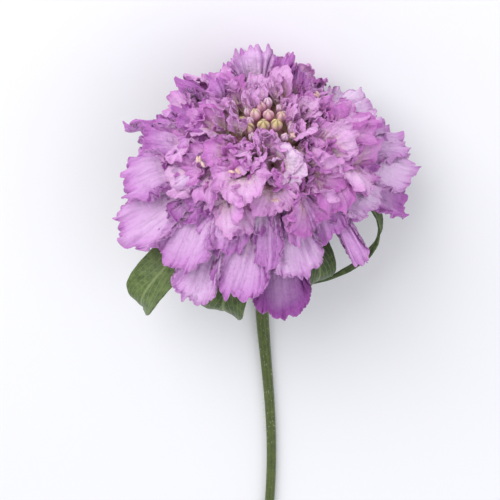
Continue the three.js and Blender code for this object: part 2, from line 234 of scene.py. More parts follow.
def add_node(
    material: bpy.types.Material,
    kind: str,
    inputs: dict | None = None,
    stops: Sequence[tuple[float, str | float]] = (),
    **settings: object,
) -> bpy.types.Node:
    """Adds one node with its settings, its colour stops and its links.

    Args:
        material: The material that gets the node.
        kind: The node's type.
        inputs: For each socket, by name or number, a value, a hex colour, another node's output, or
            another node, whose first output is then linked.
        stops: For a colour ramp, the place of each stop with its colour or its grey value.
        settings: The node's own properties.

    Returns:
        The node.
    """
    tree = material.node_tree
    node = tree.nodes.new(kind)
    for name, value in settings.items():
        setattr(node, name, value)
    for key, value in (inputs or {}).items():
        source = value.outputs[0] if isinstance(value, bpy.types.Node) else value
        if isinstance(source, bpy.types.NodeSocket):
            tree.links.new(source, node.inputs[key])
        else:
            node.inputs[key].default_value = linear(source) if isinstance(source, str) else source
    if stops:
        elements = node.color_ramp.elements
        while len(elements) < len(stops):
            elements.new(1.0)
        for element, (place, value) in zip(elements, stops):
            element.position = place
            element.color = linear(value) if isinstance(value, str) else (value, value, value, 1.0)
    return node


MIX_FACTOR, MIX_A, MIX_B, MIX_RESULT = 0, 6, 7, 2


def start_material(
    name: str, patterns: Sequence[tuple[float, float, float]], marks: Sequence[str] = ()
) -> tuple[bpy.types.Material, bpy.types.Node, list[bpy.types.Node], list[bpy.types.NodeSocket]]:
    """Starts a material with what it is drawn from.

    Args:
        name: Its name.
        patterns: For each of its uneven patterns, the scale in millimetres, the detail and the roughness.
        marks: The names of the numbers that it reads from a piece's vertices.

    Returns:
        The material, its coordinates, a node for each pattern and an output for each mark.
    """
    material = bpy.data.materials.new(name)
    material.use_nodes = True
    material.node_tree.nodes.clear()
    place = add_node(material, "ShaderNodeTexCoord")
    grains = []
    for size, detail, roughness in patterns:
        inputs = {"Scale": 1 / (size * MM), "Detail": detail, "Roughness": roughness}
        inputs["Vector"] = place.outputs["Object"]
        grains.append(add_node(material, "ShaderNodeTexNoise", inputs))
    numbers = [
        add_node(material, "ShaderNodeAttribute", attribute_name=mark).outputs["Fac"] for mark in marks
    ]
    return material, place, grains, numbers


def end_material(
    material: bpy.types.Material,
    colour: object,
    layers: Sequence[tuple[object, object]],
    bumps: Sequence[tuple[object, float, float]],
    inputs: dict,
) -> bpy.types.Material:
    """Ends a material: lays its colours and its bumps over one another and joins them in the shader.

    Args:
        material: The material.
        colour: The lowest colour, as hex, a node or an output.
        layers: The share and the colour of each layer over it, the lowest first.
        bumps: Each bump's height pattern, its strength and its depth in millimetres, the lowest first.
        inputs: The shader's other inputs.

    Returns:
        The finished material.
    """
    for share, over in layers:
        both = {MIX_FACTOR: share, MIX_A: colour, MIX_B: over}
        colour = add_node(material, "ShaderNodeMix", both, data_type="RGBA").outputs[MIX_RESULT]
    below: dict[str, bpy.types.Node] = {}
    for height, strength, depth in bumps:
        bump = {"Height": height, "Strength": strength, "Distance": depth * MM, **below}
        below = {"Normal": add_node(material, "ShaderNodeBump", bump)}
    shader = add_node(material, "ShaderNodeBsdfPrincipled", {"Base Color": colour, **below, **inputs})
    add_node(material, "ShaderNodeOutputMaterial", {"Surface": shader})
    return material


@dataclass(frozen=True)
class PetalFinish:
    """A scabious petal: thin living tissue with a velvet skin of small cells and fine veins that fan out.

    The eye sees a matt lilac that is pale in the face and at the claw and deeper towards the margin, where
    fine darker strokes between the teeth paint shade in the crimps and a thin paler line along the margin
    is a painted highlight, with a faint sheen at grazing angles and light that passes through.
    """

    name: str
    tones: tuple[str, ...]
    face: str = "#ebd0ee"
    edge: str = "#bb62b6"
    # The stroke colour draws faint veins all over and, more strongly near the margin, painted shade in the
    # fine crimps there.
    stroke: str = "#93499a"
    claw: str = "#ecdadf"
    # The rim colour is a painted highlight along the thin margin line.
    rim: str = "#dcaede"
    face_share: float = 0.48
    edge_share: float = 0.42
    crease_shade_share: float = 1.6
    rim_highlight_share: float = 0.25
    vein_share: float = 0.25
    claw_start: float = 0.3
    claw_length: float = 0.42
    veins_across: float = 30.0
    veins_along: float = 2.2
    blotch_mm: float = 5.0
    crumple_mm: float = 2.2
    cell_mm: float = 0.3

    TONE_PLACES = (0.08, 0.34, 0.52, 0.7, 0.95)
    # How far the veins of petals whose tones differ by one lie apart in the pattern.
    APART = 43.0

    def material(self) -> bpy.types.Material:
        """Makes the material, whose pattern follows the petal's own map, its margin and its own tone.

        Returns:
            The material.
        """
        patterns = ((self.blotch_mm, 5.0, 0.65), (self.crumple_mm, 4.0, 0.6), (self.cell_mm, 1.0, 0.5))
        m, place, (blotch, crumple, cells), (tone, inside, margin) = start_material(
            self.name, patterns, ("tone", "face", "margin")
        )
        flat = add_node(m, "ShaderNodeSeparateXYZ", {0: place.outputs["UV"]})
        across, along = flat.outputs["X"], flat.outputs["Y"]
        own = add_node(m, "ShaderNodeCombineXYZ", {0: across, 1: along, 2: tone})
        stretch = (self.veins_across, self.veins_along, self.APART)
        fan = add_node(m, "ShaderNodeVectorMath", {0: own, 1: stretch}, operation="MULTIPLY")
        noise = {"Vector": fan, "Scale": 1.0, "Detail": 3.0, "Roughness": 0.6}
        streak = add_node(m, "ShaderNodeTexNoise", noise)
        sums = ((blotch, 0.55, tone), (blotch, 0.5, inside), (streak, 0.5, along))
        shifted, deep, reach = (
            add_node(m, "ShaderNodeMath", {0: pattern, 1: share, 2: rest}, operation="MULTIPLY_ADD")
            for pattern, share, rest in sums
        )
        tones = list(zip(self.TONE_PLACES, self.tones))
        body = add_node(m, "ShaderNodeValToRGB", {0: shifted}, stops=tones)
        ranges = ((0.5, 1.15, 0.0, self.face_share), (0.22, 0.6, self.edge_share, 0.0))
        pale, outer = (
            add_node(m, "ShaderNodeMapRange", {"Value": deep, 1: low, 2: high, 3: first, 4: last})
            for low, high, first, last in ranges
        )
        dark = add_node(m, "ShaderNodeValToRGB", {0: streak}, stops=[(0.5, 0.0), (0.66, 1.0)])
        # Near the margin the strokes are painted shade in the crimps; the weaker strokes all over are the
        # veins.
        inputs = {0: outer, 1: self.crease_shade_share, 2: self.vein_share}
        drawn = add_node(m, "ShaderNodeMath", inputs, operation="MULTIPLY_ADD")
        veins = add_node(m, "ShaderNodeMath", {0: drawn, 1: dark}, operation="MULTIPLY")
        start, length = self.claw_start, self.claw_length
        stops = [(start, 1.0), (start + 0.6 * length, 0.35), (start + length, 0.0)]
        foot = add_node(m, "ShaderNodeValToRGB", {0: reach}, stops=stops)
        # The thin paler line along the margin is a painted highlight.
        rim = add_node(m, "ShaderNodeMath", {0: margin, 1: self.rim_highlight_share}, operation="MULTIPLY")
        shares = (pale, outer, veins, foot, rim)
        return end_material(
            m,
            body,
            list(zip(shares, (self.face, self.edge, self.stroke, self.claw, self.rim))),
            ((cells, 0.2, 0.06), (crumple, 0.8, 1.5), (streak, 0.45, 0.4)),
            {
                "Roughness": add_node(m, "ShaderNodeMapRange", {"Value": streak, 3: 0.46, 4: 0.66}),
                "IOR": 1.42,
                "Specular IOR Level": 0.2,
                "Subsurface Weight": 0.3,
                "Subsurface Radius": (1.0, 0.9, 1.0),
                "Subsurface Scale": 0.3 * MM,
                "Sheen Weight": 0.06,
                "Sheen Roughness": 0.4,
                "Sheen Tint": "#e6c2ee",
            },
        )


@dataclass(frozen=True)
class LeafFinish:
    """A green bract or stem: living plant skin, waxy and faintly hairy.

    The eye sees an uneven olive green with paler veins or ridges, small pale specks of hairs and a soft
    gloss.
    """

    name: str
    light: str
    dark: str
    deep: str
    vein: str
    hair: str = "#a9bd86"
    midrib: bool = True
    ridges: int = 9
    side_veins: float = 42.0
    vein_slant: float = -1.5
    mottle_mm: float = 1.6
    speck_mm: float = 0.5

    def veins(self, m: bpy.types.Material, across: object, along: object) -> bpy.types.Node:
        """The pattern of veins or ridges.

        Args:
            m: The material that gets the nodes.
            across: The place across the leaf's own map, as an output.
            along: The place along it.

        Returns:
            The node with their shade: side veins and a midrib on a leaf, ridges round a stem.
        """
        pitch, first, most = math.tau * self.ridges, 0.1, 0.4
        if self.midrib:
            middle = add_node(m, "ShaderNodeMath", {0: across, 1: 0.5}, operation="SUBTRACT")
            off_middle = add_node(m, "ShaderNodeMath", {0: middle}, operation="ABSOLUTE")
            inputs = {0: off_middle, 1: self.vein_slant, 2: along}
            across = add_node(m, "ShaderNodeMath", inputs, operation="MULTIPLY_ADD")
            pitch, first, most = self.side_veins, 0.72, 0.35
        rows = add_node(m, "ShaderNodeMath", {0: across, 1: pitch}, operation="MULTIPLY")
        wave = add_node(m, "ShaderNodeMath", {0: rows}, operation="SINE")
        lines = add_node(m, "ShaderNodeMapRange", {"Value": wave, 1: first, 2: 1.0, 3: 0.0, 4: most})
        if not self.midrib:
            return lines
        rib = add_node(m, "ShaderNodeMapRange", {"Value": off_middle, 1: 0.012, 2: 0.035, 3: 0.7, 4: 0.0})
        return add_node(m, "ShaderNodeMath", {0: lines, 1: rib}, operation="MAXIMUM")

    def material(self) -> bpy.types.Material:
        """Makes the material, with its veins along the leaf's own map, darkened by the piece's shade
        value, which is painted shade on bracts that lie in shadow.

        Returns:
            The material.
        """
        patterns = [(self.mottle_mm, 4.0, 0.65)]
        m, place, (mottle,), (shade,) = start_material(self.name, patterns, ["shade"])
        flat = add_node(m, "ShaderNodeSeparateXYZ", {0: place.outputs["UV"]})
        # Subtracting the shade value darkens the colour: painted shade on bracts that lie in shadow.
        patch = add_node(m, "ShaderNodeMath", {0: mottle, 1: shade}, operation="SUBTRACT")
        stops = [(0.1, self.deep), (0.32, self.dark), (0.68, self.light)]
        body = add_node(m, "ShaderNodeValToRGB", {0: patch}, stops=stops)
        veins = self.veins(m, flat.outputs["X"], flat.outputs["Y"])
        cells = {"Vector": place.outputs["Object"], "Scale": 1 / (self.speck_mm * MM)}
        specks = add_node(m, "ShaderNodeTexVoronoi", cells)
        hairs = add_node(m, "ShaderNodeMapRange", {"Value": specks, 1: 0.1, 2: 0.2, 3: 0.55, 4: 0.0})
        return end_material(
            m,
            body,
            ((veins, self.vein), (hairs, self.hair)),
            ((mottle, 0.35, 0.15), (veins, 0.5, 0.25)),
            {
                "Roughness": add_node(m, "ShaderNodeMapRange", {"Value": mottle, 3: 0.38, 4: 0.6}),
                "IOR": 1.45,
                "Specular IOR Level": 0.45,
                "Subsurface Weight": 0.12,
                "Subsurface Radius": (0.5, 0.8, 0.3),
                "Subsurface Scale": 0.6 * MM,
                "Sheen Weight": 0.1,
                "Sheen Roughness": 0.5,
            },
        )


@dataclass(frozen=True)
class BudFinish:
    """A closed floret bud, or one that is about to open: smooth plant skin, matt with a soft highlight.

    The eye sees a foot of one colour run into a paler tip, further up the higher the bud's own tone is,
    with darker creases where the folded lobes meet.
    """

    name: str
    foot: str
    waist: str
    tip: str
    crease: str
    grain_mm: float = 0.7

    def material(self) -> bpy.types.Material:
        """Makes the material, coloured along the bud's own map and by its crease attribute.

        Returns:
            The material.
        """
        patterns = [(self.grain_mm, 2.0, 0.5)]
        m, place, (grain,), (tone, crease) = start_material(self.name, patterns, ("tone", "crease"))
        flat = add_node(m, "ShaderNodeSeparateXYZ", {0: place.outputs["UV"]})
        along = add_node(m, "ShaderNodeMath", {0: flat.outputs["Y"], 1: tone}, operation="SUBTRACT")
        height = add_node(m, "ShaderNodeMath", {0: grain, 1: 0.3, 2: along}, operation="MULTIPLY_ADD")
        stops = [(0.4, self.foot), (0.8, self.waist), (0.97, self.tip)]
        body = add_node(m, "ShaderNodeValToRGB", {0: height}, stops=stops)
        return end_material(
            m,
            body,
            [(crease, self.crease)],
            [(grain, 0.25, 0.1)],
            {
                "Roughness": 0.45,
                "Subsurface Weight": 0.25,
                "Subsurface Radius": (1.0, 0.8, 0.4),
                "Subsurface Scale": 0.7 * MM,
                "Specular IOR Level": 0.4,
            },
        )


@dataclass(frozen=True)
class SpeckledFinish:
    """A small fibrous or powdery part, such as bristles, pith or pollen.

    The eye sees two colours mottled at a small scale, matt and slightly rough.
    """

    name: str
    dark: str
    light: str
    grain_mm: float
    roughness: float = 0.7

    def material(self) -> bpy.types.Material:
        """Makes the mottled material, on object coordinates.

        Returns:
            The material.
        """
        m, _, (grain,), _ = start_material(self.name, [(self.grain_mm, 3.0, 0.6)])
        stops = [(0.36, self.dark), (0.64, self.light)]
        colour = add_node(m, "ShaderNodeValToRGB", {0: grain}, stops=stops)
        inputs = {"Roughness": self.roughness, "Subsurface Weight": 0.1, "Subsurface Scale": 0.5 * MM}
        return end_material(m, colour, (), [(grain, 0.5, 0.12)], inputs)


class Slot(Enum):
    """The record's material slots."""

    PETAL = "petal_mauve"
    BUD = "bud_cream_green"
    STEM = "stem_green"
    BRACT = "bract_green"


UPPER_SIDE = PetalFinish(
    "petal_velvet_upper",
    # The deepest tone was darkened as painted shade for the shaded petal of tone 0.7; other petals come
    # near it only in their deepest blotches.
    tones=("#ecd2ef", "#dfa8e2", "#d493d8", "#c780ca", "#93529b"),
)
UNDER_SIDE = PetalFinish(
    "petal_skin_under",
    tones=("#efdaef", "#e3bde6", "#d9a9db", "#ce98d1", "#aa74b0"),
    claw="#e6e0cc",
    edge="#b778bc",
)
FLORET_SIDE = PetalFinish(
    "floret_lobe_velvet",
    tones=("#f6e2f5", "#ebb9e8", "#e1a1df", "#d68ad2", "#af63ad"),
    face="#f1d7ed",
    claw="#ead6c8",
    edge="#c56bbc",
    face_share=0.45,
    edge_share=0.42,
    # As on the petals, the strokes paint shade in the crimps near the margin, and the rim paints a
    # highlight.
    crease_shade_share=0.9,
    rim_highlight_share=0.15,
    claw_length=0.4,
    veins_across=14.0,
)
FLORET_UNDER = PetalFinish(
    "floret_lobe_under",
    tones=("#f6e5f1", "#eec4e7", "#e5aedd", "#da9ad2", "#b676ad"),
    face="#f2dcea",
    claw="#e6dabc",
    edge="#ca7cc0",
    face_share=0.4,
    # As on the petals, the strokes paint shade in the crimps near the margin, and the rim paints a
    # highlight.
    crease_shade_share=0.8,
    rim_highlight_share=0.15,
    claw_length=0.4,
    veins_across=14.0,
)
TUBE_SIDE = PetalFinish(
    "floret_tube_skin",
    tones=("#ecd6dc", "#e2bcca", "#d89cc2", "#c884b2", "#a3648c"),
    claw="#dcd8b4",
    claw_length=0.66,
    veins_across=10.0,
)
BRACT_SKIN = LeafFinish(
    "bract_leaf_skin", light="#6f8446", dark="#435628", deep="#2c3b1e", vein="#8c9c66"
)
STEM_SKIN = LeafFinish(
    "stem_ribbed_skin", light="#5a682f", dark="#425026", deep="#323e1f", vein="#6a7742", midrib=False
)
BUD_SKIN = BudFinish("bud_skin", foot="#e4a2c4", waist="#ecc6ca", tip="#dfcc98", crease="#6e5633")
YOUNG_SKIN = BudFinish(
    "young_floret_skin", foot="#dcc6ae", waist="#e2b6cf", tip="#edd2e4", crease="#c07aa8"
)
BRISTLE = SpeckledFinish("calyx_bristle", dark="#7a3a50", light="#9a8750", grain_mm=0.8)
DOME_SKIN = SpeckledFinish("dome_chaff", dark="#874a66", light="#a38a66", grain_mm=1.2)
BACK_SKIN = SpeckledFinish("dome_back_skin", dark="#4d5f30", light="#8d9a68", grain_mm=1.0)
POLLEN = SpeckledFinish("anther_pollen", dark="#dca6a8", light="#f2dccb", grain_mm=0.4)
FILAMENT = SpeckledFinish("filament_skin", dark="#dcb4d4", light="#f0dcea", grain_mm=0.6, roughness=0.5)
HAIR = SpeckledFinish("stem_hair", dark="#b9c69c", light="#dde4cb", grain_mm=0.4, roughness=0.5)
PITH = SpeckledFinish("stem_cut_pith", dark="#b9c48c", light="#dfe3bd", grain_mm=0.5)


# Meshes


def pick(*pieces: bpy.types.Object) -> None:
    """Leaves edit mode and selects these pieces alone, the first of them active.

    Args:
        pieces: The pieces, or none to leave nothing selected.
    """
    if bpy.context.object and bpy.context.object.mode != "OBJECT":
        bpy.ops.object.mode_set(mode="OBJECT")
    bpy.ops.object.select_all(action="DESELECT")
    for piece in reversed(pieces):
        piece.select_set(True)
        bpy.context.view_layer.objects.active = piece


def write_attribute(piece: bpy.types.Object, name: str, values: np.ndarray | float) -> None:
    """Writes one number for each vertex, or the same one for all."""
    layer = piece.data.attributes.get(name) or piece.data.attributes.new(name, "FLOAT", "POINT")
    layer.data.foreach_set("value", np.broadcast_to(values, len(layer.data)).astype(np.float32).copy())


def shaped_grid(name: str, columns: int, rows: int, shape: Shape) -> bpy.types.Object:
    """Adds a grid and shapes it.

    Args:
        name: The piece's name.
        columns: Faces across, along u.
        rows: Faces along, along t.
        shape: Gives the points, in millimetres of the part's frame, for u from -1 to 1 and t from 0 to 1.

    Returns:
        The piece, whose faces point to the side that u to the right and t up show.
    """
    pick()
    bpy.ops.mesh.primitive_grid_add(x_subdivisions=columns, y_subdivisions=rows, size=2.0)
    piece = bpy.context.object
    piece.name = piece.data.name = name
    flat = np.empty(len(piece.data.vertices) * 3, dtype=np.float32)
    piece.data.vertices.foreach_get("co", flat)
    x, y, _ = flat.reshape(-1, 3).astype(float).T
    points = shape(x, (y + 1) / 2)
    piece.data.vertices.foreach_set("co", (points * MM).astype(np.float32).ravel())
    piece.data.update()
    return piece


def close_seams(piece: bpy.types.Object, distance: float = 0.01) -> None:
    """Merges the seams and poles of wrapped grids.

    Args:
        piece: The piece.
        distance: How close two points have to lie to become one.
    """
    pick(piece)
    bpy.ops.object.mode_set(mode="EDIT")
    bpy.ops.mesh.select_all(action="SELECT")
    bpy.ops.mesh.remove_doubles(threshold=distance * MM)
    bpy.ops.mesh.normals_make_consistent(inside=False)
    bpy.ops.object.mode_set(mode="OBJECT")


def cap_ends(tube: bpy.types.Object) -> None:
    """Closes both ends of an open tube.

    Args:
        tube: The tube, whose seam is merged.
    """
    pick(tube)
    bpy.ops.object.mode_set(mode="EDIT")
    bpy.ops.mesh.select_all(action="DESELECT")
    bpy.ops.mesh.select_mode(type="EDGE")
    bpy.ops.mesh.select_non_manifold(extend=False)
    bpy.ops.mesh.edge_face_add()
    bpy.ops.mesh.select_all(action="SELECT")
    bpy.ops.mesh.normals_make_consistent(inside=False)
    bpy.ops.object.mode_set(mode="OBJECT")


def thicken(piece: bpy.types.Object, thickness: float, under_material: int = 0) -> None:
    """Gives a sheet its thickness, half on each side.

    Args:
        piece: The sheet.
        thickness: The thickness.
        under_material: How many materials after the upper side's own the lower side's one stands.
    """
    pick(piece)
    wall = piece.modifiers.new("wall", "SOLIDIFY")
    wall.thickness = thickness * MM
    wall.offset = 0.0
    wall.material_offset = under_material
    bpy.ops.object.modifier_apply(modifier=wall.name)


def join(name: str, pieces: Sequence[bpy.types.Object]) -> bpy.types.Object:
    """Joins pieces into the first one and names it.

    Args:
        name: The name of the joined piece.
        pieces: The pieces.

    Returns:
        The joined piece.
    """
    pick(*pieces)
    bpy.ops.object.join()
    pieces[0].name = pieces[0].data.name = name
    return pieces[0]


def smooth_shading(piece: bpy.types.Object, angle: float = 60.0) -> None:
    """Shades a piece smooth, apart from its edges that are sharper than the angle."""
    pick(piece)
    bpy.ops.object.shade_smooth_by_angle(angle=math.radians(angle))


def dress(
    piece: bpy.types.Object, materials: Sequence[bpy.types.Material], slot: Slot, *nodes: str
) -> None:
    """Finishes a piece: its materials, its body and what it stands for.

    Args:
        piece: The piece.
        materials: Its materials, where it hasn't got them yet.
        slot: Its slot in the record; not used.
        nodes: The CAD nodes that it replaces.
    """
    if not piece.data.materials:
        for material in materials:
            piece.data.materials.append(material)
    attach(piece, "root")
    if nodes:
        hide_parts(*nodes)
    LOG.info("%s: %d faces", piece.name, len(piece.data.polygons))


SPIKE_FACES = (4, 4)
SPIKE_SEAM = 0.002
# A direction that no bristle, hair or filament runs along.
ASKEW = np.array([0.37, 0.61, 0.7])


def spike(name: str, foot: np.ndarray, tip: np.ndarray, bend: float, radii: Pair) -> bpy.types.Object:
    """A thin bristle, hair or filament of few faces.

    Args:
        name: The piece's name.
        foot: Its foot, in the part's frame.
        tip: Its tip.
        bend: How far its middle is bent upwards.
        radii: The radius at its foot and at its tip.

    Returns:
        The piece, closed at its seam later, with the others.
    """
    middle = (foot + tip) / 2 + bend * AXIS_Z
    columns, rows = SPIKE_FACES
    steps = np.linspace(0, 1, rows + 1)[:, None]
    line = foot * (1 - steps) ** 2 + 2 * middle * steps * (1 - steps) + tip * steps**2

    def shape(u: np.ndarray, t: np.ndarray) -> np.ndarray:
        """The spike's rings."""
        row = np.rint(t * rows).astype(int)
        return sweep(line, mix(*radii, t), ASKEW, math.pi * u, row)

    return shaped_grid(name, columns, rows, shape)


def join_spikes(name: str, spikes: Sequence[bpy.types.Object]) -> bpy.types.Object:
    """Joins spikes and closes their seams.

    Args:
        name: The name of the joined piece.
        spikes: The spikes.

    Returns:
        The joined piece.
    """
    piece = join(name, spikes)
    close_seams(piece, SPIKE_SEAM)
    return piece


# Petals


LIP_TURN = 1.37


def spaced(x: np.ndarray, t: np.ndarray) -> tuple[np.ndarray, np.ndarray]:
    """A grid's places for a blade whose faces are to point up.

    Args:
        x: The grid's own places across, from -1 to 1.
        t: Its places along, from 0 to 1.

    Returns:
        Places across and along that lie evenly along the blade's round lip, and closer together near it.
    """
    return -np.sin(LIP_TURN * x) / math.sin(LIP_TURN), 1 - (1 - t) ** 1.5


@dataclass(frozen=True)
class Blade:
    """The middle surface of a petal or bract, as in the part's source: a curve with a width and a cup."""

    seed: int
    seat: np.ndarray
    controls: tuple[Point, Point, Point, Point]
    half_width: float
    twist: float = 0.0
    cup: float = 0.0

    def middle(self, along: np.ndarray) -> tuple[np.ndarray, np.ndarray]:
        """The middle line.

        Args:
            along: Shares of the line, from 0 to 1.

        Returns:
            The line's points and its directions there, in the blade's seat.
        """
        a, b, c, d = np.array(self.controls)
        s = along[:, None]
        point = a * (1 - s) ** 3 + 3 * b * s * (1 - s) ** 2 + 3 * c * s**2 * (1 - s) + d * s**3
        ahead = 3 * ((b - a) * (1 - s) ** 2 + 2 * (c - b) * s * (1 - s) + (d - c) * s**2)
        return point, unit(ahead)

    def form(self, u: np.ndarray, t: np.ndarray) -> tuple[np.ndarray, np.ndarray, np.ndarray]:
        """The share along the middle line, the way across and the height off it, for each place."""
        return t, u * self.half_width, np.zeros_like(u)

    def points(self, u: np.ndarray, t: np.ndarray) -> np.ndarray:
        """The blade's points in the part's frame.

        Args:
            u: Places across, from -1 to 1.
            t: Places along, from 0 to 1.

        Returns:
            The points.
        """
        along, way, height = self.form(u, t)
        point, ahead = self.middle(along)
        up = unit(np.cross(ahead, AXIS_Y))
        side = np.cross(up, ahead)
        turn = (math.radians(self.twist) * along)[:, None]
        across = side * np.cos(turn) + up * np.sin(turn)
        off = up * np.cos(turn) - side * np.sin(turn)
        at = point + across * way[:, None] + off * height[:, None]
        return to_part(settle(seated(at, self.seat)))


@dataclass(frozen=True)
class Petal(Blade):
    """A petal's lip: a fan with a rounded, lobed and toothed margin that is ruffled all round.

    Each REACH says how far from the margin something fades, and each PITCH how far apart its waves stand.
    The phase and the bare rates in the waves only make every petal, and every stretch of it, uneven.
    """

    span: float = 20.0
    roundness: float = 1.0
    wave_height: float = 2.0
    waves: float = 2.0
    phase: float = 0.0
    lobe_depth: float = 0.6
    notches: Pair = (0.4, -0.4)
    tooth_pitch: float = 1.4
    tooth_depth: float = 0.6
    tone: float | None = None
    crimp: float = 1.25
    wrinkling: float = 0.13
    curl: float = 0.0

    CLAW = 0.22
    ROOT_DEPTH = 1.6
    SCALLOP_PITCH = 4.4
    SCALLOP_DEPTH = 0.35
    TOOTH_REACH = 1.4
    NOTCH_WIDTH = 0.1
    NOTCH_DEPTH = 1.2
    WANDER = 1.3
    FOLDING = 0.42
    PLEAT_PITCH = 2.3
    PLEAT_HEIGHT = 0.06
    CRINKLE_HEIGHT = 0.3
    RUFFLE_PITCH = 4.7
    RUFFLE_HEIGHT = 1.05
    RUFFLE_REACH = 2.8
    CRIMP_PITCH = 2.1
    CRIMP_HEIGHT = 0.65
    CRIMP_REACH = 1.2
    CURL_REACH = 2.0
    WRINKLE_PITCH = 1.25
    WRINKLE_REACH = 7.0
    # How far the painted highlight along the margin reaches.
    RIM_HIGHLIGHT_REACH = 0.16
    FACE_REACH = 6.0
    USUAL_TONE = 0.45
    PAINTED_SHADE_DEEPENING = 1.3

    @classmethod
    def between(
        cls,
        seed: int,
        seat: np.ndarray,
        root: Pair,
        tip: Pair,
        width: float,
        rise: float,
        twist: float,
        **finer: float,
    ) -> "Petal":
        """A petal from its root to its tip.

        Args:
            seed: The petal's number, which sets its own character.
            seat: Its place and its directions.
            root: How far outwards and how high its root lies.
            tip: The same of its tip.
            width: Its greatest width.
            rise: The angle at which it leaves its root.
            twist: Its turn from root to tip.
            finer: The sizes of its teeth and crimps and its tone, where they aren't the usual ones.

        Returns:
            The petal.
        """
        span = math.hypot(tip[0] - root[0], tip[1] - root[1])
        away = math.cos(math.radians(rise)), math.sin(math.radians(rise))
        sway = span * draw_between((-0.15, 0.15), seed, 1)
        fall = span * draw_between((-0.12, 0.36), seed, 2)
        reach = 0.4 * span
        controls = (
            (root[0] - cls.ROOT_DEPTH * away[0], 0.0, root[1] - cls.ROOT_DEPTH * away[1]),
            (root[0] + reach * away[0], 0.0, root[1] + reach * away[1]),
            (tip[0] - 0.3 * span, 0.5 * sway, tip[1] + fall),
            (tip[0], sway, tip[1]),
        )
        return cls(
            seed=seed,
            seat=seat,
            controls=controls,
            half_width=width / 2,
            twist=twist,
            cup=draw_between((-0.1, 0.14), seed, 4),
            span=span,
            roundness=draw_between((0.9, 1.3), seed, 3),
            wave_height=width * draw_between((0.105, 0.18), seed, 5),
            waves=draw_between((1.5, 2.6), seed, 6),
            phase=math.tau * draw(seed, 7),
            lobe_depth=0.07 * width,
            notches=(draw_between((0.2, 0.6), seed, 91), draw_between((-0.6, -0.2), seed, 92)),
            curl=draw_between((-0.9, 1.5), seed, 8),
            **finer,
        )

    def outline(self, t: np.ndarray) -> np.ndarray:
        """The half width as a share of the full one: a narrow claw that fans out."""
        return self.CLAW + (1 - self.CLAW) * np.sin(0.5 * math.pi * np.power(t, 1.05))

    def rounding(self, u: np.ndarray) -> np.ndarray:
        """How far the round lip falls short of the full length, as a share of it."""
        most = np.minimum(self.roundness * self.half_width / self.span, 0.5)
        return most * (1 - np.sqrt(1 - 0.985 * u * u))

    def off_margin(self, u: np.ndarray, t: np.ndarray) -> np.ndarray:
        """How far places lie from the margin.

        Args:
            u: Places across, from -1 to 1.
            t: Places along, from 0 to 1.

        Returns:
            The distances, in millimetres.
        """
        beside = (1 - np.abs(u)) * self.half_width * self.outline(t)
        ahead = (1 - t) * self.span * (1 - self.rounding(u))
        return beside * ahead / np.hypot(beside, ahead + 1e-6)

    def teeth(self, place: np.ndarray) -> np.ndarray:
        """Uneven round teeth and, further apart, scallops.

        Args:
            place: Places along the margin, in millimetres.

        Returns:
            0 at the crowns of the teeth, and 1 and more in the narrow cuts between them.
        """
        wander = 0.3 * np.sin(1.3 * place + self.phase) + 0.13 * np.sin(3.1 * place + 2 * self.phase)
        cuts = (1 - np.abs(np.sin(math.pi * (place / self.tooth_pitch + wander)))) ** 1.2
        scallops = (1 - np.abs(np.sin(math.pi * (place / self.SCALLOP_PITCH + 0.6 * wander)))) ** 1.6
        return cuts * (0.75 + 0.25 * np.sin(0.9 * place + 3 * self.phase)) + self.SCALLOP_DEPTH * scallops

    def margin_wave(self, u: np.ndarray, place: np.ndarray, off: np.ndarray) -> np.ndarray:
        """The ruffle of the margin, its finer crimps, and its curl to one side.

        Args:
            u: Places across, from -1 to 1.
            place: Places along the margin, in millimetres.
            off: How far they lie from it.

        Returns:
            The heights.
        """
        uneven = 1.3 * np.sin(0.6 * place + self.phase) + self.phase
        ruffle = np.sin(math.tau * place / self.RUFFLE_PITCH + uneven)
        crimps = np.sin(math.tau * place / self.CRIMP_PITCH + 1.2 * np.sin(1.1 * place) + 3 * self.phase)
        curl = self.curl * (0.6 + 0.4 * np.sin(2.2 * u + self.phase))
        return (
            self.RUFFLE_HEIGHT * ruffle * np.exp(-off / self.RUFFLE_REACH)
            + self.CRIMP_HEIGHT * crimps * np.exp(-off / self.CRIMP_REACH)
            + curl * np.exp(-off / self.CURL_REACH)
        )

    def face_wave(self, u: np.ndarray, t: np.ndarray, lip: np.ndarray, off: np.ndarray) -> np.ndarray:
        """The folds, pleats, crinkles and fine wrinkles of the face.

        Args:
            u: Places across, from -1 to 1.
            t: Places along, from 0 to 1.
            lip: Places along the lip, in millimetres.
            off: How far they lie from the margin.

        Returns:
            The heights.
        """
        length = t * self.span
        bent = u * (1 + 0.22 * np.sin(3.1 * t + 2 * self.phase))
        drift = self.phase + self.WANDER * np.sin(2.4 * t + self.phase)
        folds = t**2 * np.sin(math.pi * self.waves * bent + drift)
        pleats = t * np.sin(math.tau * lip / self.PLEAT_PITCH + np.sin(0.9 * lip + self.phase))
        crinkle = t * np.sin(0.9 * lip + 0.7 * length + self.phase) * np.sin(0.65 * length - 0.5 * lip)
        lines = np.sin(math.tau * lip / self.WRINKLE_PITCH + 2 * np.sin(0.8 * lip))
        patches = 0.55 + 0.45 * np.sin(0.55 * length + 0.9 * lip + 2 * self.phase)
        return (
            self.FOLDING * self.wave_height * folds
            + self.PLEAT_HEIGHT * pleats
            + self.CRINKLE_HEIGHT * crinkle
            + self.wrinkling * lines * patches * np.exp(-off / self.WRINKLE_REACH) * self.grown(t)
        )

    def grown(self, t: np.ndarray) -> np.ndarray:
        """How far teeth and ruffles are grown: not at the claw, and fully from the middle on."""
        return smooth(0.12, 0.5, t)

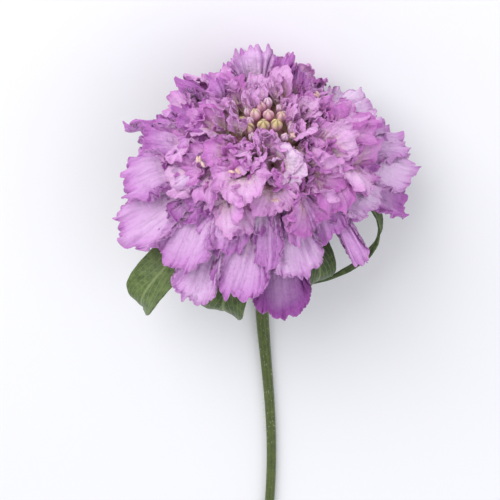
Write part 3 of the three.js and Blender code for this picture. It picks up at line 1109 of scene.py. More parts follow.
    def form(self, u: np.ndarray, t: np.ndarray) -> tuple[np.ndarray, np.ndarray, np.ndarray]:
        """The lobed and toothed outline, and the ruffle of the part's source with a crimped margin.

        Args:
            u: Places across, from -1 to 1.
            t: Places along, from 0 to 1.

        Returns:
            The share along the middle line, the way across and the height off it, for each place.
        """
        half = self.half_width * self.outline(t)
        off = self.off_margin(u, t)
        lip = np.arcsin(0.98 * u) * self.half_width
        place = lip + np.sign(u) * (1 - t) * self.span * np.abs(u) ** 3
        teeth = self.tooth_depth * self.teeth(place) * np.exp(-off / self.TOOTH_REACH) * self.grown(t)
        lobes = np.abs(np.sin(0.5 * math.pi * self.waves * u + self.phase))
        for notch in self.notches:
            lobes = lobes + self.NOTCH_DEPTH * np.exp(-(((u - notch) / self.NOTCH_WIDTH) ** 2))
        facing = np.sqrt(1 - 0.9 * u * u)
        short = (teeth * facing + self.lobe_depth * lobes * smooth(0.4, 1.0, t)) / self.span
        height = self.cup * u * u * half + self.face_wave(u, t, lip, off)
        height = height + self.crimp * self.grown(t) * self.margin_wave(u, place, off)
        return t * (1 - self.rounding(u)) - short, u * (half - 0.8 * teeth), height

    # Only the petal whose deep tone is painted shade lies above the usual tone, so this loss of paleness
    # is painted shade too.
    @property
    def paleness(self) -> float:
        """How pale the petal's face is against its edge, which is less in a petal of a deep tone."""
        return 1.0 - self.PAINTED_SHADE_DEEPENING * max(0.0, (self.tone or 0.0) - self.USUAL_TONE)

    @property
    def own_tone(self) -> float:
        """Its tone, which is drawn where none is given."""
        return self.USUAL_TONE * draw(self.seed, 9) if self.tone is None else self.tone

    def marks(self, u: np.ndarray, t: np.ndarray) -> dict[str, np.ndarray]:
        """What the finish reads at places of the petal.

        Args:
            u: Places across, from -1 to 1.
            t: Places along, from 0 to 1.

        Returns:
            Under "margin" the thin rim, where a highlight is painted, and under "face" how deep in the
            face a place lies, from 0 to 1.
        """
        off = self.off_margin(u, t)
        inner = off * (1 + 1.6 * np.abs(u) * (1 - smooth(0.5, 0.95, t)))
        face = np.clip(inner / self.FACE_REACH, 0.0, 1.0)
        return {
            "margin": np.exp(-off / self.RIM_HIGHLIGHT_REACH) * smooth(0.25, 0.55, t),
            "face": self.paleness * np.maximum(face, 0.8 * (1 - smooth(0.15, 0.6, t))),
        }


def build_petals(
    name: str,
    petals: Sequence[Petal],
    grid: tuple[int, int],
    finishes: Sequence[bpy.types.Material],
    thickness: float,
    *nodes: str,
) -> None:
    """Shapes petals from grids, each with its own tone, joins them, and finishes and dresses both sides.

    Args:
        name: The piece's name.
        petals: The petals.
        grid: Faces across and along each.
        finishes: The materials of their upper and under side.
        thickness: Their thickness.
        nodes: The CAD nodes that the piece replaces.
    """
    sheets = []
    for petal in petals:
        marks: dict[str, np.ndarray] = {}

        def shape(x: np.ndarray, t: np.ndarray) -> np.ndarray:
            """The petal's points, with its marks noted beside them."""
            places = spaced(x, t)
            marks.update(petal.marks(*places))
            return petal.points(*places)

        sheet = shaped_grid(f"{name}_{petal.seed}", *grid, shape)
        write_attribute(sheet, "tone", petal.own_tone)
        for mark, values in marks.items():
            write_attribute(sheet, mark, values)
        sheets.append(sheet)
    piece = join(name, sheets)
    for finish in finishes:
        piece.data.materials.append(finish)
    thicken(piece, thickness, under_material=1)
    smooth_shading(piece)
    dress(piece, finishes, Slot.PETAL, *nodes)


class PetalTable(Enum):
    """The petals that are placed one by one.

    Each row has a petal's azimuth, how far outwards and how high its tip lies, its width, the angle at
    which it leaves its root, its twist and, for some, its tone. The deep tone of the petal at -84 degrees
    is painted shade, for that petal lies in the flower's shadow.
    """

    MARGINAL = (
        (-101, 35.5, -14, 15, 12, 4, 0.18),
        (-125, 39, -18, 12.5, 4, -8, -0.05),
        # Painted shade: this petal faces down in the flower's shadow, and its deep tone, which also takes
        # most of the paleness from its face, paints that shade.
        (-84, 36, -22, 15, -8, 10, 0.7),
        (-62, 26, -8, 11, 14, 12),
        (-44, 35, -13, 5.5, 12, 50),
        (-29, 32, -4, 15, 18, 6, -0.12),
        (-12, 37, -15, 16, -2, -12, 0.4),
        (0, 38, -8, 17, 10, 6, -0.05),
        (14, 37.5, -6, 16, 12, -14, 0.0),
        (28, 32, -5, 14, 12, 8, -0.05),
        (61, 27, -5, 13, 12, -10),
        (80, 31, -4, 8, 12, 24),
        (100, 33, 1, 17, 16, -4),
        (124, 26, -6, 12, 10, 10),
        (146, 32, -4, 14, 12, -10),
        (165, 34, -4, 14, 12, 16),
        (189, 38, -8, 17, 8, 6),
        (207, 41.5, -13, 18, 6, -6),
        (222, 36, -14, 17, 8, 4),
    )
    UPPER = (
        (-122, 29, -5, 14, 30, 6),
        (-98, 25, -2, 13, 42, -12),
        (-76, 32.5, -10, 14, 20, 8, -0.05),
        (-52, 28, -6, 13, 26, 30),
        (-28, 24, 0, 12, 36, -16),
        (-8, 28, -3, 12, 24, 10),
        (14, 22, 4, 12, 44, -8),
        (38, 21, 1, 11, 40, 10),
        (66, 25, 2, 14, 46, -22),
        (126, 26, 1, 9, 48, 20),
        (148, 26, 2, 12, 36, 4),
        (181, 32, 6, 15, 32, 4, 0.32),
        (198, 27, 0, 13, 32, -10),
        (214, 30, -5, 14, 22, 8),
    )
    MIDDLE = (
        (102, 21.3, 16.5, 12.0, 60, 0, -0.02),
        (77, 19.2, 15, 6, 62, 10),
        (62, 19, 12, 9.5, 54, -8),
        (88, 14.5, 13, 8, 70, 16),
        (149, 17.3, 16, 6.5, 66, 0),
        (149, 26, 12, 3, 56, 0),
        (174, 36.5, 2, 5, 24, 20),
        (136, 16, 12, 10, 60, -14),
        (171, 23.7, 10, 12, 40, 10),
        (-170, 19.3, 12, 12, 46, -10),
        (-163, 22.9, 9, 11, 34, 12),
        (-150, 26.5, 3, 11, 22, 0, -0.15),
        (5, 19.6, 10, 11, 46, 10, -0.2),
        (-10, 22.8, 8, 10, 26, 40),
        (-17, 25, 1, 12, 22, 0),
        (-35, 22, 1, 9, 30, -40, -0.2),
        (-34, 29, -6, 14, 14, 0),
        (-118, 29, -7, 13, 22, 0),
        (-101, 25, -1, 14, 34, 0, -0.3),
        (-72, 27, -4, 13, 24, 14),
        (-136, 26, -1, 12, 24, -10),
        (-88, 19, 4, 11, 40, -20),
        (-55, 20, 4, 11, 44, 20),
        (20, 30.5, 5.5, 16.5, 42, 0, -0.5),
        (160, 18, 12, 9, 56, -24),
        (-91, 29, -10, 9, 12, 34, 0.15),
        (-62, 24, -3, 9, 26, -16, -0.1),
    )


@dataclass
class PetalRings:
    """The rings of petals round the dome: marginal ones, upper ones that lie on them, and middle ones."""

    marginal_root: Pair = (12.5, -1.5)
    marginal_crimp: float = 0.95
    upper_root: Pair = (12.8, 2.0)
    upper_first_seed: int = 40
    middle_root: Pair = (12.2, 5.6)
    middle_first_seed: int = 60
    crimp: float = 1.15
    thickness: float = 0.24

    def ring(self, table: PetalTable, first_seed: int, root: Pair, crimp: float) -> list[Petal]:
        """The petals of a table.

        Args:
            table: The table.
            first_seed: The first petal's number.
            root: How far outwards and how high all of them are rooted, on the dome's side.
            crimp: How strongly their margins are crimped.

        Returns:
            The petals.
        """
        petals = []
        for seed, row in enumerate(table.value, first_seed):
            azimuth, reach, height, width, rise, twist, *tone = row
            petals.append(
                Petal.between(
                    seed,
                    ring_seat(azimuth),
                    root,
                    (reach, height),
                    width,
                    rise,
                    twist,
                    tone=tone[0] if tone else None,
                    crimp=crimp,
                )
            )
        return petals

    def build(self) -> None:
        """Builds and dresses the three rings."""
        finishes = [UPPER_SIDE.material(), UNDER_SIDE.material()]
        marginal = self.ring(PetalTable.MARGINAL, 0, self.marginal_root, self.marginal_crimp)
        upper = self.ring(PetalTable.UPPER, self.upper_first_seed, self.upper_root, self.crimp)
        middle = self.ring(PetalTable.MIDDLE, self.middle_first_seed, self.middle_root, self.crimp)
        build_petals("petals_marginal", marginal, (80, 30), finishes, self.thickness, "bloom")
        build_petals("petals_upper", upper, (70, 28), finishes, self.thickness)
        build_petals("petals_middle", middle, (60, 28), finishes, self.thickness)


class Age(Enum):
    """How far a floret has opened: the spread of its lobes above its mouth, and the grid of each lobe."""

    OPENING = (60.0, (14, 9))
    YOUNG = (30.0, (25, 11))
    OPEN = (22.0, (33, 12))


@dataclass(frozen=True)
class Floret:
    """A floret: a slim tube whose mouth opens into five unequal lobes, the outermost the longest."""

    number: int
    azimuth: float
    outwards: float
    age: Age
    larger: float = 1.0
    spin: float = 0.0
    wide: float = 1.0
    ease: float = 1.0
    tone: float | None = None

    # Sizes of the innermost floret and of the outermost one.
    REACH = (5.4, 14.6)
    LEAN = (88.0, 26.0)
    TUBE = (2.0, 4.6)
    LENGTH = (4.2, 11.6)
    WIDTH = (4.0, 11.8)
    MOUTH = (0.75, 1.2)
    TOOTH_DEPTH = (0.3, 0.65)
    CRIMP = (0.15, 0.65)
    WRINKLING = (0.02, 0.07)
    # The five lobes, the outermost first.
    TURNS = (0.0, 62.0, -60.0, 128.0, -132.0)
    SIZES = (1.0, 0.86, 0.8, 0.52, 0.48)
    STEEPER = (0.0, 8.0, 6.0, 26.0, 22.0)
    RISE = 80.0
    TOOTH_PITCH = 1.3
    FIRST_SEED = 200
    UNEVEN_LEAN = 30.0
    UNEVEN_TURN = 34.0
    UNEVEN_TWIST = 50.0
    TUBE_FOOT = 0.45
    TUBE_DEPTH = 0.6
    FLARE = 0.3

    def between(self, ends: Pair) -> float:
        """A size between the innermost floret's and the outermost one's."""
        return mix(*ends, self.outwards)

    @property
    def foot(self) -> np.ndarray:
        """Its foot on the dome."""
        reach, height = on_dome(math.asin(self.between(self.REACH) / DOME_RADIUS))
        return round_axis(np.array([reach, 0.0, height]), self.azimuth)

    @property
    def axis(self) -> np.ndarray:
        """Leans the tube, flat outside and upright in the middle.

        Returns:
            Its direction, of length one.
        """
        lean = math.radians(self.between(self.LEAN) + self.UNEVEN_LEAN * (draw(self.number, 14) - 0.5))
        sideways = 0.5 * (draw(self.number, 15) - 0.5)
        return unit(round_axis(np.array([math.cos(lean), sideways, math.sin(lean)]), self.azimuth))

    @property
    def tube_length(self) -> float:
        """The length of its tube."""
        return self.between(self.TUBE) * draw_between((0.8, 1.25), self.number, 12)

    @property
    def mouth(self) -> float:
        """The radius of its mouth."""
        return self.wide * self.between(self.MOUTH)

    def seat(self, turn: float) -> np.ndarray:
        """The seat at its mouth of a lobe with this turn about its axis."""
        mouth = self.foot + self.tube_length * self.axis
        return seat_at(mouth, self.axis, self.azimuth, turn + self.spin)

    def lobes(self) -> list[Petal]:
        """Shapes the lobes, which share its mouth.

        Returns:
            The five lobes.
        """
        spread, _ = self.age.value
        lobes = []
        for place, (turn, size, steeper) in enumerate(zip(self.TURNS, self.SIZES, self.STEEPER)):
            seed = self.FIRST_SEED + self.number * len(self.TURNS) + place
            heading = math.radians(spread + steeper + self.UNEVEN_TURN * (draw(seed, 16) - 0.5))
            grown = size * self.larger * draw_between((0.8, 1.25), seed, 17)
            reach = grown * self.between(self.LENGTH)
            lobes.append(
                Petal.between(
                    seed,
                    seat=self.seat(turn + self.UNEVEN_TURN * (draw(seed, 18) - 0.5)),
                    root=(0.7 * self.mouth, -0.7),
                    tip=(reach * math.cos(heading), reach * math.sin(heading)),
                    width=grown * self.between(self.WIDTH),
                    rise=self.RISE,
                    twist=self.UNEVEN_TWIST * (draw(seed, 19) - 0.5),
                    tooth_pitch=self.TOOTH_PITCH,
                    tooth_depth=self.ease * self.between(self.TOOTH_DEPTH),
                    crimp=self.ease * self.between(self.CRIMP),
                    wrinkling=self.ease * self.between(self.WRINKLING),
                    tone=self.tone,
                )
            )
        return lobes

    def tube(self, u: np.ndarray, t: np.ndarray) -> np.ndarray:
        """The tube's wall, five-sided towards its flared mouth.

        Args:
            u: The angle round it, from -1 to 1.
            t: The share of its length, from 0 to 1.

        Returns:
            The points, in the part's frame.
        """
        angle = math.pi * u
        radius = mix(self.TUBE_FOOT, self.mouth, t**1.7) * (1 + 0.1 * np.sin(5 * angle) * t)
        radius = radius + self.FLARE * smooth(0.8, 1.0, t)
        height = (t - 1) * (self.tube_length + self.TUBE_DEPTH)
        at = rings(height[:, None] * AXIS_Z, AXIS_X, AXIS_Y, radius, angle)
        return to_part(settle(seated(at, self.seat(0.0))))


@dataclass
class Florets:
    """The florets of the dome, opening ones round the buds and open ones further out.

    A low side is an azimuth with some room on each side, where the florets away from the buds are
    smaller. A placed floret has its azimuth, its place outwards, its size, its turn, how wide its mouth
    is, how ruffled it is and its tone.
    """

    opening: int = 12
    young: int = 17
    open: int = 20
    low_sides: tuple = ((100.0, 24.0, 0.68), (38.0, 28.0, 0.56))
    low_from: float = 0.4
    sizes: Pair = (0.85, 1.25)
    opening_tone: float = 0.05
    wander: Pair = (4.0, 14.0)
    spread_spin: float = 60.0
    apart: float = 1.7
    placed: tuple = (
        (-84, 0.5, 1.0, 62, 2.4, 0.35, -0.15),
        (-103, 0.34, 1.1, -20, 1.0, 0.5, 0.12),
        (-72, 0.66, 0.8, 0, 1.0, 0.5, 0.3),
        (-94, 0.3, 0.8, 180, 1.0, 0.6, 0.1),
        (-34, 0.37, 0.9, 0, 1.0, 0.7, 0.1),
        (2, 0.45, 0.9, 0, 1.0, 1.0, 0.0),
    )
    thickness: float = 0.2
    tube_thickness: float = 0.16
    tube_face: float = 0.5

    def age(self, k: int) -> Age:
        """The age of the floret with this number, which grows outwards."""
        grown = Age.YOUNG if k < self.opening + self.young else Age.OPEN
        return Age.OPENING if k < self.opening else grown

    def size(self, k: int, azimuth: float, outwards: float) -> float:
        """How large a floret is against the usual one.

        Args:
            k: Its number.
            azimuth: Its azimuth.
            outwards: Its place between the buds and the dome's side, from 0 to 1.

        Returns:
            Its size.
        """
        low = [share for side, room, share in self.low_sides if abs(azimuth % 360 - side) < room]
        return low[0] if low and outwards > self.low_from else draw_between(self.sizes, k, 21)

    def florets(self) -> list[Floret]:
        """Places all florets, the spread ones by the golden angle from the buds outwards.

        Returns:
            The placed florets and the spread ones that don't stand too close to them.
        """
        total = self.opening + self.young + self.open
        made = [
            Floret(total + i, azimuth, outwards, Age.YOUNG, *more)
            for i, (azimuth, outwards, *more) in enumerate(self.placed)
        ]
        taken = [floret.foot for floret in made]
        inner, outer = Floret.REACH
        for k in range(total):
            azimuth = k * GOLDEN_ANGLE + self.wander[k > self.opening] * (draw(k, 11) - 0.5)
            reach = math.sqrt(mix(inner * inner, outer * outer, k / (total - 1)))
            outwards = (reach - inner) / (outer - inner)
            age = self.age(k)
            tone = self.opening_tone if age is Age.OPENING else None
            larger = self.size(k, azimuth, outwards)
            spin = self.spread_spin * (draw(k, 20) - 0.5)
            floret = Floret(k, azimuth, outwards, age, larger, spin, tone=tone)
            if min(np.linalg.norm(floret.foot - foot) for foot in taken) > self.apart:
                made.append(floret)
        return made

    def build(self) -> None:
        """Builds and dresses the lobes of each age, and the tubes."""
        florets = self.florets()
        finishes = [FLORET_SIDE.material(), FLORET_UNDER.material()]
        for age in Age:
            lobes = [lobe for floret in florets if floret.age is age for lobe in floret.lobes()]
            build_petals(f"florets_{age.name.lower()}", lobes, age.value[1], finishes, self.thickness)
        walls = []
        for floret in florets:
            wall = shaped_grid(f"tube_{floret.number}", 16, 8, floret.tube)
            write_attribute(wall, "tone", Petal.USUAL_TONE * draw(floret.number, 9))
            write_attribute(wall, "face", self.tube_face)
            close_seams(wall)
            walls.append(wall)
        piece = join("floret_tubes", walls)
        piece.data.materials.append(TUBE_SIDE.material())
        thicken(piece, self.tube_thickness)
        smooth_shading(piece)
        dress(piece, [], Slot.PETAL)


@dataclass
class Buds:
    """The closed buds in the middle and the clubs of young florets round them.

    A spot has its place across the head, the bud's radius, how much it stands out, and how pink it is.
    """

    spots: tuple = (
        (-4.1, -1.9, 1.45, 0.1, 0.05),
        (-1.2, -1.7, 1.55, 0.4, 0.0),
        (1.9, -1.5, 1.5, 0.2, 0.0),
        (-2.7, 1.1, 1.4, 0.7, 0.2),
        (0.3, 1.2, 1.4, 0.4, 0.35),
        (3.1, 1.3, 1.3, 0.0, 0.25),
        (-5.6, 0.6, 1.25, -0.4, 0.1),
        (0.4, -4.4, 1.3, -0.8, 0.35),
        (-1.4, 3.9, 1.35, 0.3, 0.4),
    )
    floor: float = 8.5
    slenderness: float = 1.5
    lift: float = 4.3
    rounding: float = 0.032
    closed_folds: int = 4
    closed_fullness: float = 0.6
    young_count: int = 13
    young_reach: Pair = (4.4, 5.6)
    young_lean: Pair = (-0.05, 0.35)
    young_length: Pair = (4.2, 6.2)
    young_radius: Pair = (0.85, 1.3)
    young_folds: int = 5
    young_fullness: float = 0.74
    fold_depth: float = 0.3
    tip_depth: float = 0.12

    def club(
        self,
        foot: np.ndarray,
        axis: np.ndarray,
        radius: float,
        length: float,
        folds: int,
        turn: float,
        fullness: float,
    ) -> bpy.types.Object:
        """A closed bud: a club with folded lobes that meet at its tip.

        Args:
            foot: Its lowest point, in the head's frame.
            axis: Its direction.
            radius: Its greatest radius.
            length: Its length.
            folds: How many lobes are folded over its tip.
            turn: Its turn about its axis, in radians.
            fullness: Where along it the greatest radius lies, from 0 to 1.

        Returns:
            The bud.
        """
        out = unit(axis)
        side = unit(np.cross(out, np.array([0.31, 0.9, 0.1])))
        creases: list[np.ndarray] = []

        def shape(u: np.ndarray, t: np.ndarray) -> np.ndarray:
            """The folded club."""
            angle = math.pi * u
            power = math.log(0.5) / math.log(fullness)
            profile = np.sin(math.pi * np.clip(t, 0, 1) ** power) ** 0.62
            crease = 1 - np.abs(np.sin(0.5 * folds * angle + turn)) ** 0.5
            creases.append(crease * smooth(0.35, 0.7, t))
            r = radius * profile * (1 - self.fold_depth * crease * smooth(0.4, 0.85, t))
            height = length * (t - self.tip_depth * crease * smooth(0.8, 1.0, t))
            return to_part(rings(foot + out * height[:, None], side, np.cross(out, side), r, angle))

        piece = shaped_grid("bud", 24, 14, shape)
        write_attribute(piece, "crease", creases[0])
        close_seams(piece)
        return piece

    def build(self) -> None:
        """Builds and dresses the buds and the young florets."""
        closed = []
        for k, (x, y, radius, taller, pink) in enumerate(self.spots):
            half = radius * self.slenderness
            height = self.floor + self.lift - self.rounding * (x * x + y * y) - half + taller
            lean = 0.05 * np.array([x, y]) + 0.2 * (np.array([draw(k, 22), draw(k, 23)]) - 0.5)
            foot, axis = np.array([x, y, height]), np.array([*lean, 1.0])
            bud = self.club(foot, axis, radius, 2 * half, self.closed_folds, k, self.closed_fullness)
            write_attribute(bud, "tone", pink)
            closed.append(bud)
        young = []
        for k in range(self.young_count):
            azimuth = 360 * k / self.young_count + 12 * draw(k, 41)
            foot = np.array([draw_between(self.young_reach, k, 42), 0.0, self.floor + 0.1])
            axis = np.array([draw_between(self.young_lean, k, 43), 0.2 * (draw(k, 44) - 0.5), 1.0])
            length = draw_between(self.young_length, k, 45)
            radius = draw_between(self.young_radius, k, 46)
            ends = round_axis(foot, azimuth), round_axis(axis, azimuth)
            young.append(self.club(*ends, radius, length, self.young_folds, k, self.young_fullness))
        for name, clubs, finish, nodes in (
            ("buds_closed", closed, BUD_SKIN, ["centre_buds"]),
            ("young_florets", young, YOUNG_SKIN, []),
        ):
            piece = join(name, clubs)
            smooth_shading(piece, 75)
            dress(piece, [finish.material()], Slot.BUD, *nodes)


@dataclass
class Dome:
    """The chaffy dome that the florets stand on, its bristles, and the stamens between the florets.

    A group of stamens has its azimuth, and the reach and height of its anthers. The first groups have
    three stamens and the others two.
    """

    back: float = -4.6
    back_radius: float = 6.5
    side_share: float = 0.83
    side_height: float = 0.52
    rim_angle: float = 62.0
    rim_steps: int = 6
    pocket_reach: float = 5.6
    bristles: int = 260
    bristle_polars: Pair = (28.0, 86.0)
    bristle_lengths: Pair = (2.2, 4.2)
    bristle_radii: Pair = (0.16, 0.03)
    filament_radii: Pair = (0.13, 0.1)
    filament_bend: float = 0.7
    filament_depth: float = 5.0
    foot_share: float = 0.62
    scatter: Pair = (1.6, 2.6)
    anther_length: float = 0.9
    anther_radius: float = 0.38
    full_groups: int = 2
    stamens: tuple = (
        (-142, 21.0, 12.5),
        (-115, 17.8, 13.0),
        (-43, 8.4, 14.5),
        (38, 15.5, 12.5),
        (96, 17.0, 11.5),
        (168, 15.0, 13.0),
        (-84, 21.0, 8.0),
        (4, 20.5, 9.5),
    )

    def body(self) -> bpy.types.Object:
        """Shapes the dome, from its closed back over its side to the pocket of the buds.

        Returns:
            The piece.
        """
        polars = (90 - self.rim_angle * i / self.rim_steps for i in range(self.rim_steps + 1))
        side = [on_dome(math.radians(polar)) for polar in polars]
        profile = np.array(
            [
                (0.0, self.back),
                (self.back_radius, self.back),
                (self.side_share * DOME_RADIUS, self.side_height * self.back),
                *side,
                (self.pocket_reach, POCKET_FLOOR + 0.6),
                (0.0, POCKET_FLOOR + 1.6),
            ]
        )

        def shape(u: np.ndarray, t: np.ndarray) -> np.ndarray:
            """The bumpy side."""
            place = t * (len(profile) - 1)
            reach, height = (np.interp(place, np.arange(len(profile)), column) for column in profile.T)
            angle = math.pi * u
            bump = 0.25 * np.sin(9 * angle) * np.sin(3 * place) * np.clip(reach / 8, 0, 1)
            return to_part(rings(height[:, None] * AXIS_Z, AXIS_X, AXIS_Y, reach + bump, angle))

        piece = shaped_grid("dome", 48, (len(profile) - 1) * 2, shape)
        close_seams(piece)
        return piece

    def build(self) -> None:
        """Builds and dresses the dome, its bristles and the stamens."""
        body = self.body()
        smooth_shading(body)
        dress(body, [DOME_SKIN.material(), BACK_SKIN.material()], Slot.PETAL)
        for face in body.data.polygons:
            if face.normal.dot(Vector(HEAD_AXIS)) < -0.1:
                face.material_index = 1
        self.build_bristles()
        self.build_stamens()

    def build_bristles(self) -> None:
        """Builds the calyx bristles, which stand out from the dome between the florets."""
        spikes = []
        for k in range(self.bristles):
            polar = math.radians(draw_between(self.bristle_polars, k, 51))
            reach, height = on_dome(polar)
            foot = np.array([reach, 0.0, height])
            out = np.array([math.sin(polar), 0.0, math.cos(polar)])
            sideways = np.array([0.0, draw_between((-0.8, 0.8), k, 54), 0.0])
            tip = foot + out * draw_between(self.bristle_lengths, k, 53) + sideways
            ends = to_part(round_axis(np.stack([foot, tip]), 360 * draw(k, 52)))
            spikes.append(spike("bristle", *ends, 0.0, self.bristle_radii))
        piece = join_spikes("calyx_bristles", spikes)
        smooth_shading(piece)
        dress(piece, [BRISTLE.material()], Slot.PETAL)

    def build_stamens(self) -> None:
        """Builds the filaments with their anthers, two or three together."""
        filaments, anthers = [], []
        for k, (azimuth, reach, height) in enumerate(self.stamens):
            foot = np.array([self.foot_share * reach, 0.0, height - self.filament_depth])
            for j in range(3 if k < self.full_groups else 2):
                outwards, sideways = (
                    room * (draw(k, salt + j) - 0.5) for room, salt in zip(self.scatter, (60, 63))
                )
                tip = np.array([reach + outwards, sideways, height])
                ends = to_part(round_axis(np.stack([foot, tip]), azimuth))
                filaments.append(spike("filament", *ends, self.filament_bend, self.filament_radii))
                anthers.append(self.anther(ends[1], azimuth + 110 * draw(k, 66 + j)))
        for piece, finish, slot in (
            (join_spikes("stamen_filaments", filaments), FILAMENT, Slot.PETAL),
            (join("stamen_anthers", anthers), POLLEN, Slot.BUD),
        ):
            smooth_shading(piece)
            dress(piece, [finish.material()], slot)

    def anther(self, centre: np.ndarray, azimuth: float) -> bpy.types.Object:
        """A two-lobed pollen sac at a filament's tip.

        Args:
            centre: Its middle, in the part's frame.
            azimuth: The azimuth that it points to.

        Returns:
            The sac.
        """
        out = round_axis(np.array([1.0, 0.0, 0.25]), azimuth)
        side = unit(np.cross(out, AXIS_Z))

        def shape(u: np.ndarray, t: np.ndarray) -> np.ndarray:
            """The two lobes."""
            angle = math.pi * u
            r = self.anther_radius * np.sin(math.pi * t) ** 0.6 * (0.72 + 0.28 * np.abs(np.cos(angle)))
            line = centre + out * (self.anther_length * (2 * t - 1))[:, None]
            return rings(line, side, np.cross(side, unit(out)), r, angle)

        piece = shaped_grid("anther", 10, 7, shape)
        close_seams(piece)
        return piece


@dataclass(frozen=True)
class Bract(Blade):
    """A bract: a short stalk, a broad middle and a blunt or a drawn-out tip."""

    cup: float = 0.22
    length: float = 35.0
    narrowing: float = 0.45
    taper: float = 0.0

    STALK = 0.36
    BROADEST = 0.45
    TIP_START = 0.66
    ROUND_END = 0.2
    RIB_DEPTH = 0.35
    RIB_WIDTH = 0.45
    VEIN_PITCH = 3.2
    VEIN_HEIGHT = 0.07
    WAVE_HEIGHT = 0.35

    def outline(self, t: np.ndarray) -> np.ndarray:
        """The half width.

        Args:
            t: Places along, from 0 to 1.

        Returns:
            The shares of the full half width.
        """
        widening = mix(self.STALK, 1.0, np.sin(0.5 * math.pi * np.minimum(1, t / self.BROADEST)))
        tip = np.maximum(0, (t - self.TIP_START) / (1 - self.TIP_START))
        end = np.clip((1 - t) / self.ROUND_END, 0.01, 1)
        round_end = np.sqrt(end * (2 - end))
        return (1 - self.taper * t) * widening * (1 - self.narrowing * tip**2) * round_end

    def form(self, u: np.ndarray, t: np.ndarray) -> tuple[np.ndarray, np.ndarray, np.ndarray]:
        """The outline, a sunken midrib, raised side veins and a faint wave of the margin.

        Args:
            u: Places across, from -1 to 1.
            t: Places along, from 0 to 1.

        Returns:
            The share along the middle line, the way across and the height off it, for each place.
        """
        half = self.half_width * self.outline(t)
        rib = -self.RIB_DEPTH * np.exp(-((u * half / self.RIB_WIDTH) ** 2)) * (1 - 0.6 * t)
        slant = t * self.length / self.VEIN_PITCH - 0.9 * np.abs(u)
        veins = self.VEIN_HEIGHT * np.sin(math.tau * slant) * np.abs(u) ** 0.5
        sides = np.where(u > 0, 0.0, 1.6)
        wave = self.WAVE_HEIGHT * np.abs(u) ** 3 * np.sin(9 * t + self.seed + sides)
        return t, u * half, self.cup * u * u * half + rib + veins + wave


@dataclass
class Bracts:
    """The eleven bracts that sit below the bloom.

    Each row of the table has a bract's azimuth, its width, and the three points that its middle line is
    drawn towards after its root.
    """

    root_reach: float = 5.3
    levels: Pair = (-5.9, -7.3)
    thickness: float = 0.45
    slim: float = 6.0
    pointed: float = 0.85
    blunt: float = 0.15
    drawn_out: float = 0.6
    # Painted shade: these bracts lie in shadow, and their colour is darkened by this amount.
    painted_shade: dict[int, float] = field(default_factory=lambda: {1: 0.12, 3: 0.22, 4: 0.12})
    table: tuple = (
        (219, 11.5, (20, 0, -15), (44.5, 0, -20), (41, 0, -30)),
        (249, 12, (17, 0, -17), (38, 0, -19), (29, 0, -30)),
        (272, 9, (14, 0, -8), (37, 2, -23), (19, 1, -33)),
        (302, 8.5, (16, 0, -13), (34, 0, -15), (23, -2, -27)),
        (352, 4.4, (33, 5, -12), (40, -8, -25), (13, -18, -29)),
        (20, 8, (15, 0, -11), (30, 0, -12), (23, 0, -19)),
        (52, 7.5, (13, 0, -10), (27, 0, -10), (20, 0, -14)),
        (88, 7.5, (12, 0, -10), (24, 0, -8), (18, 0, -11)),
        (124, 7.5, (13, 0, -10), (27, 0, -11), (20, 0, -15)),
        (151, 8, (15, 0, -11), (31, 0, -13), (24, 0, -19)),
        (181, 7.5, (16, 0, -12), (36, 2, -17), (26, 4, -25)),
    )

    def build(self) -> None:
        """Builds and dresses each bract in its CAD node's place."""
        skin = BRACT_SKIN.material()
        for i, (azimuth, width, *controls) in enumerate(self.table):
            root = (self.root_reach, 0.0, self.levels[i % 2])
            narrowing, taper = (self.pointed, self.drawn_out) if width < self.slim else (self.blunt, 0.0)
            seat = ring_seat(azimuth)
            blade = Bract(i, seat, (root, *controls), width / 2, narrowing=narrowing, taper=taper)
            name = f"bract_{i + 1:02d}"
            piece = shaped_grid(f"{name}_leaf", 20, 44, lambda x, t: blade.points(*spaced(x, t)))
            # The shade value darkens a bract's colour where it lies in shadow: painted shade.
            write_attribute(piece, "shade", self.painted_shade.get(i, 0.0))
            thicken(piece, self.thickness)
            smooth_shading(piece, 50)
            dress(piece, [skin], Slot.BRACT, name)


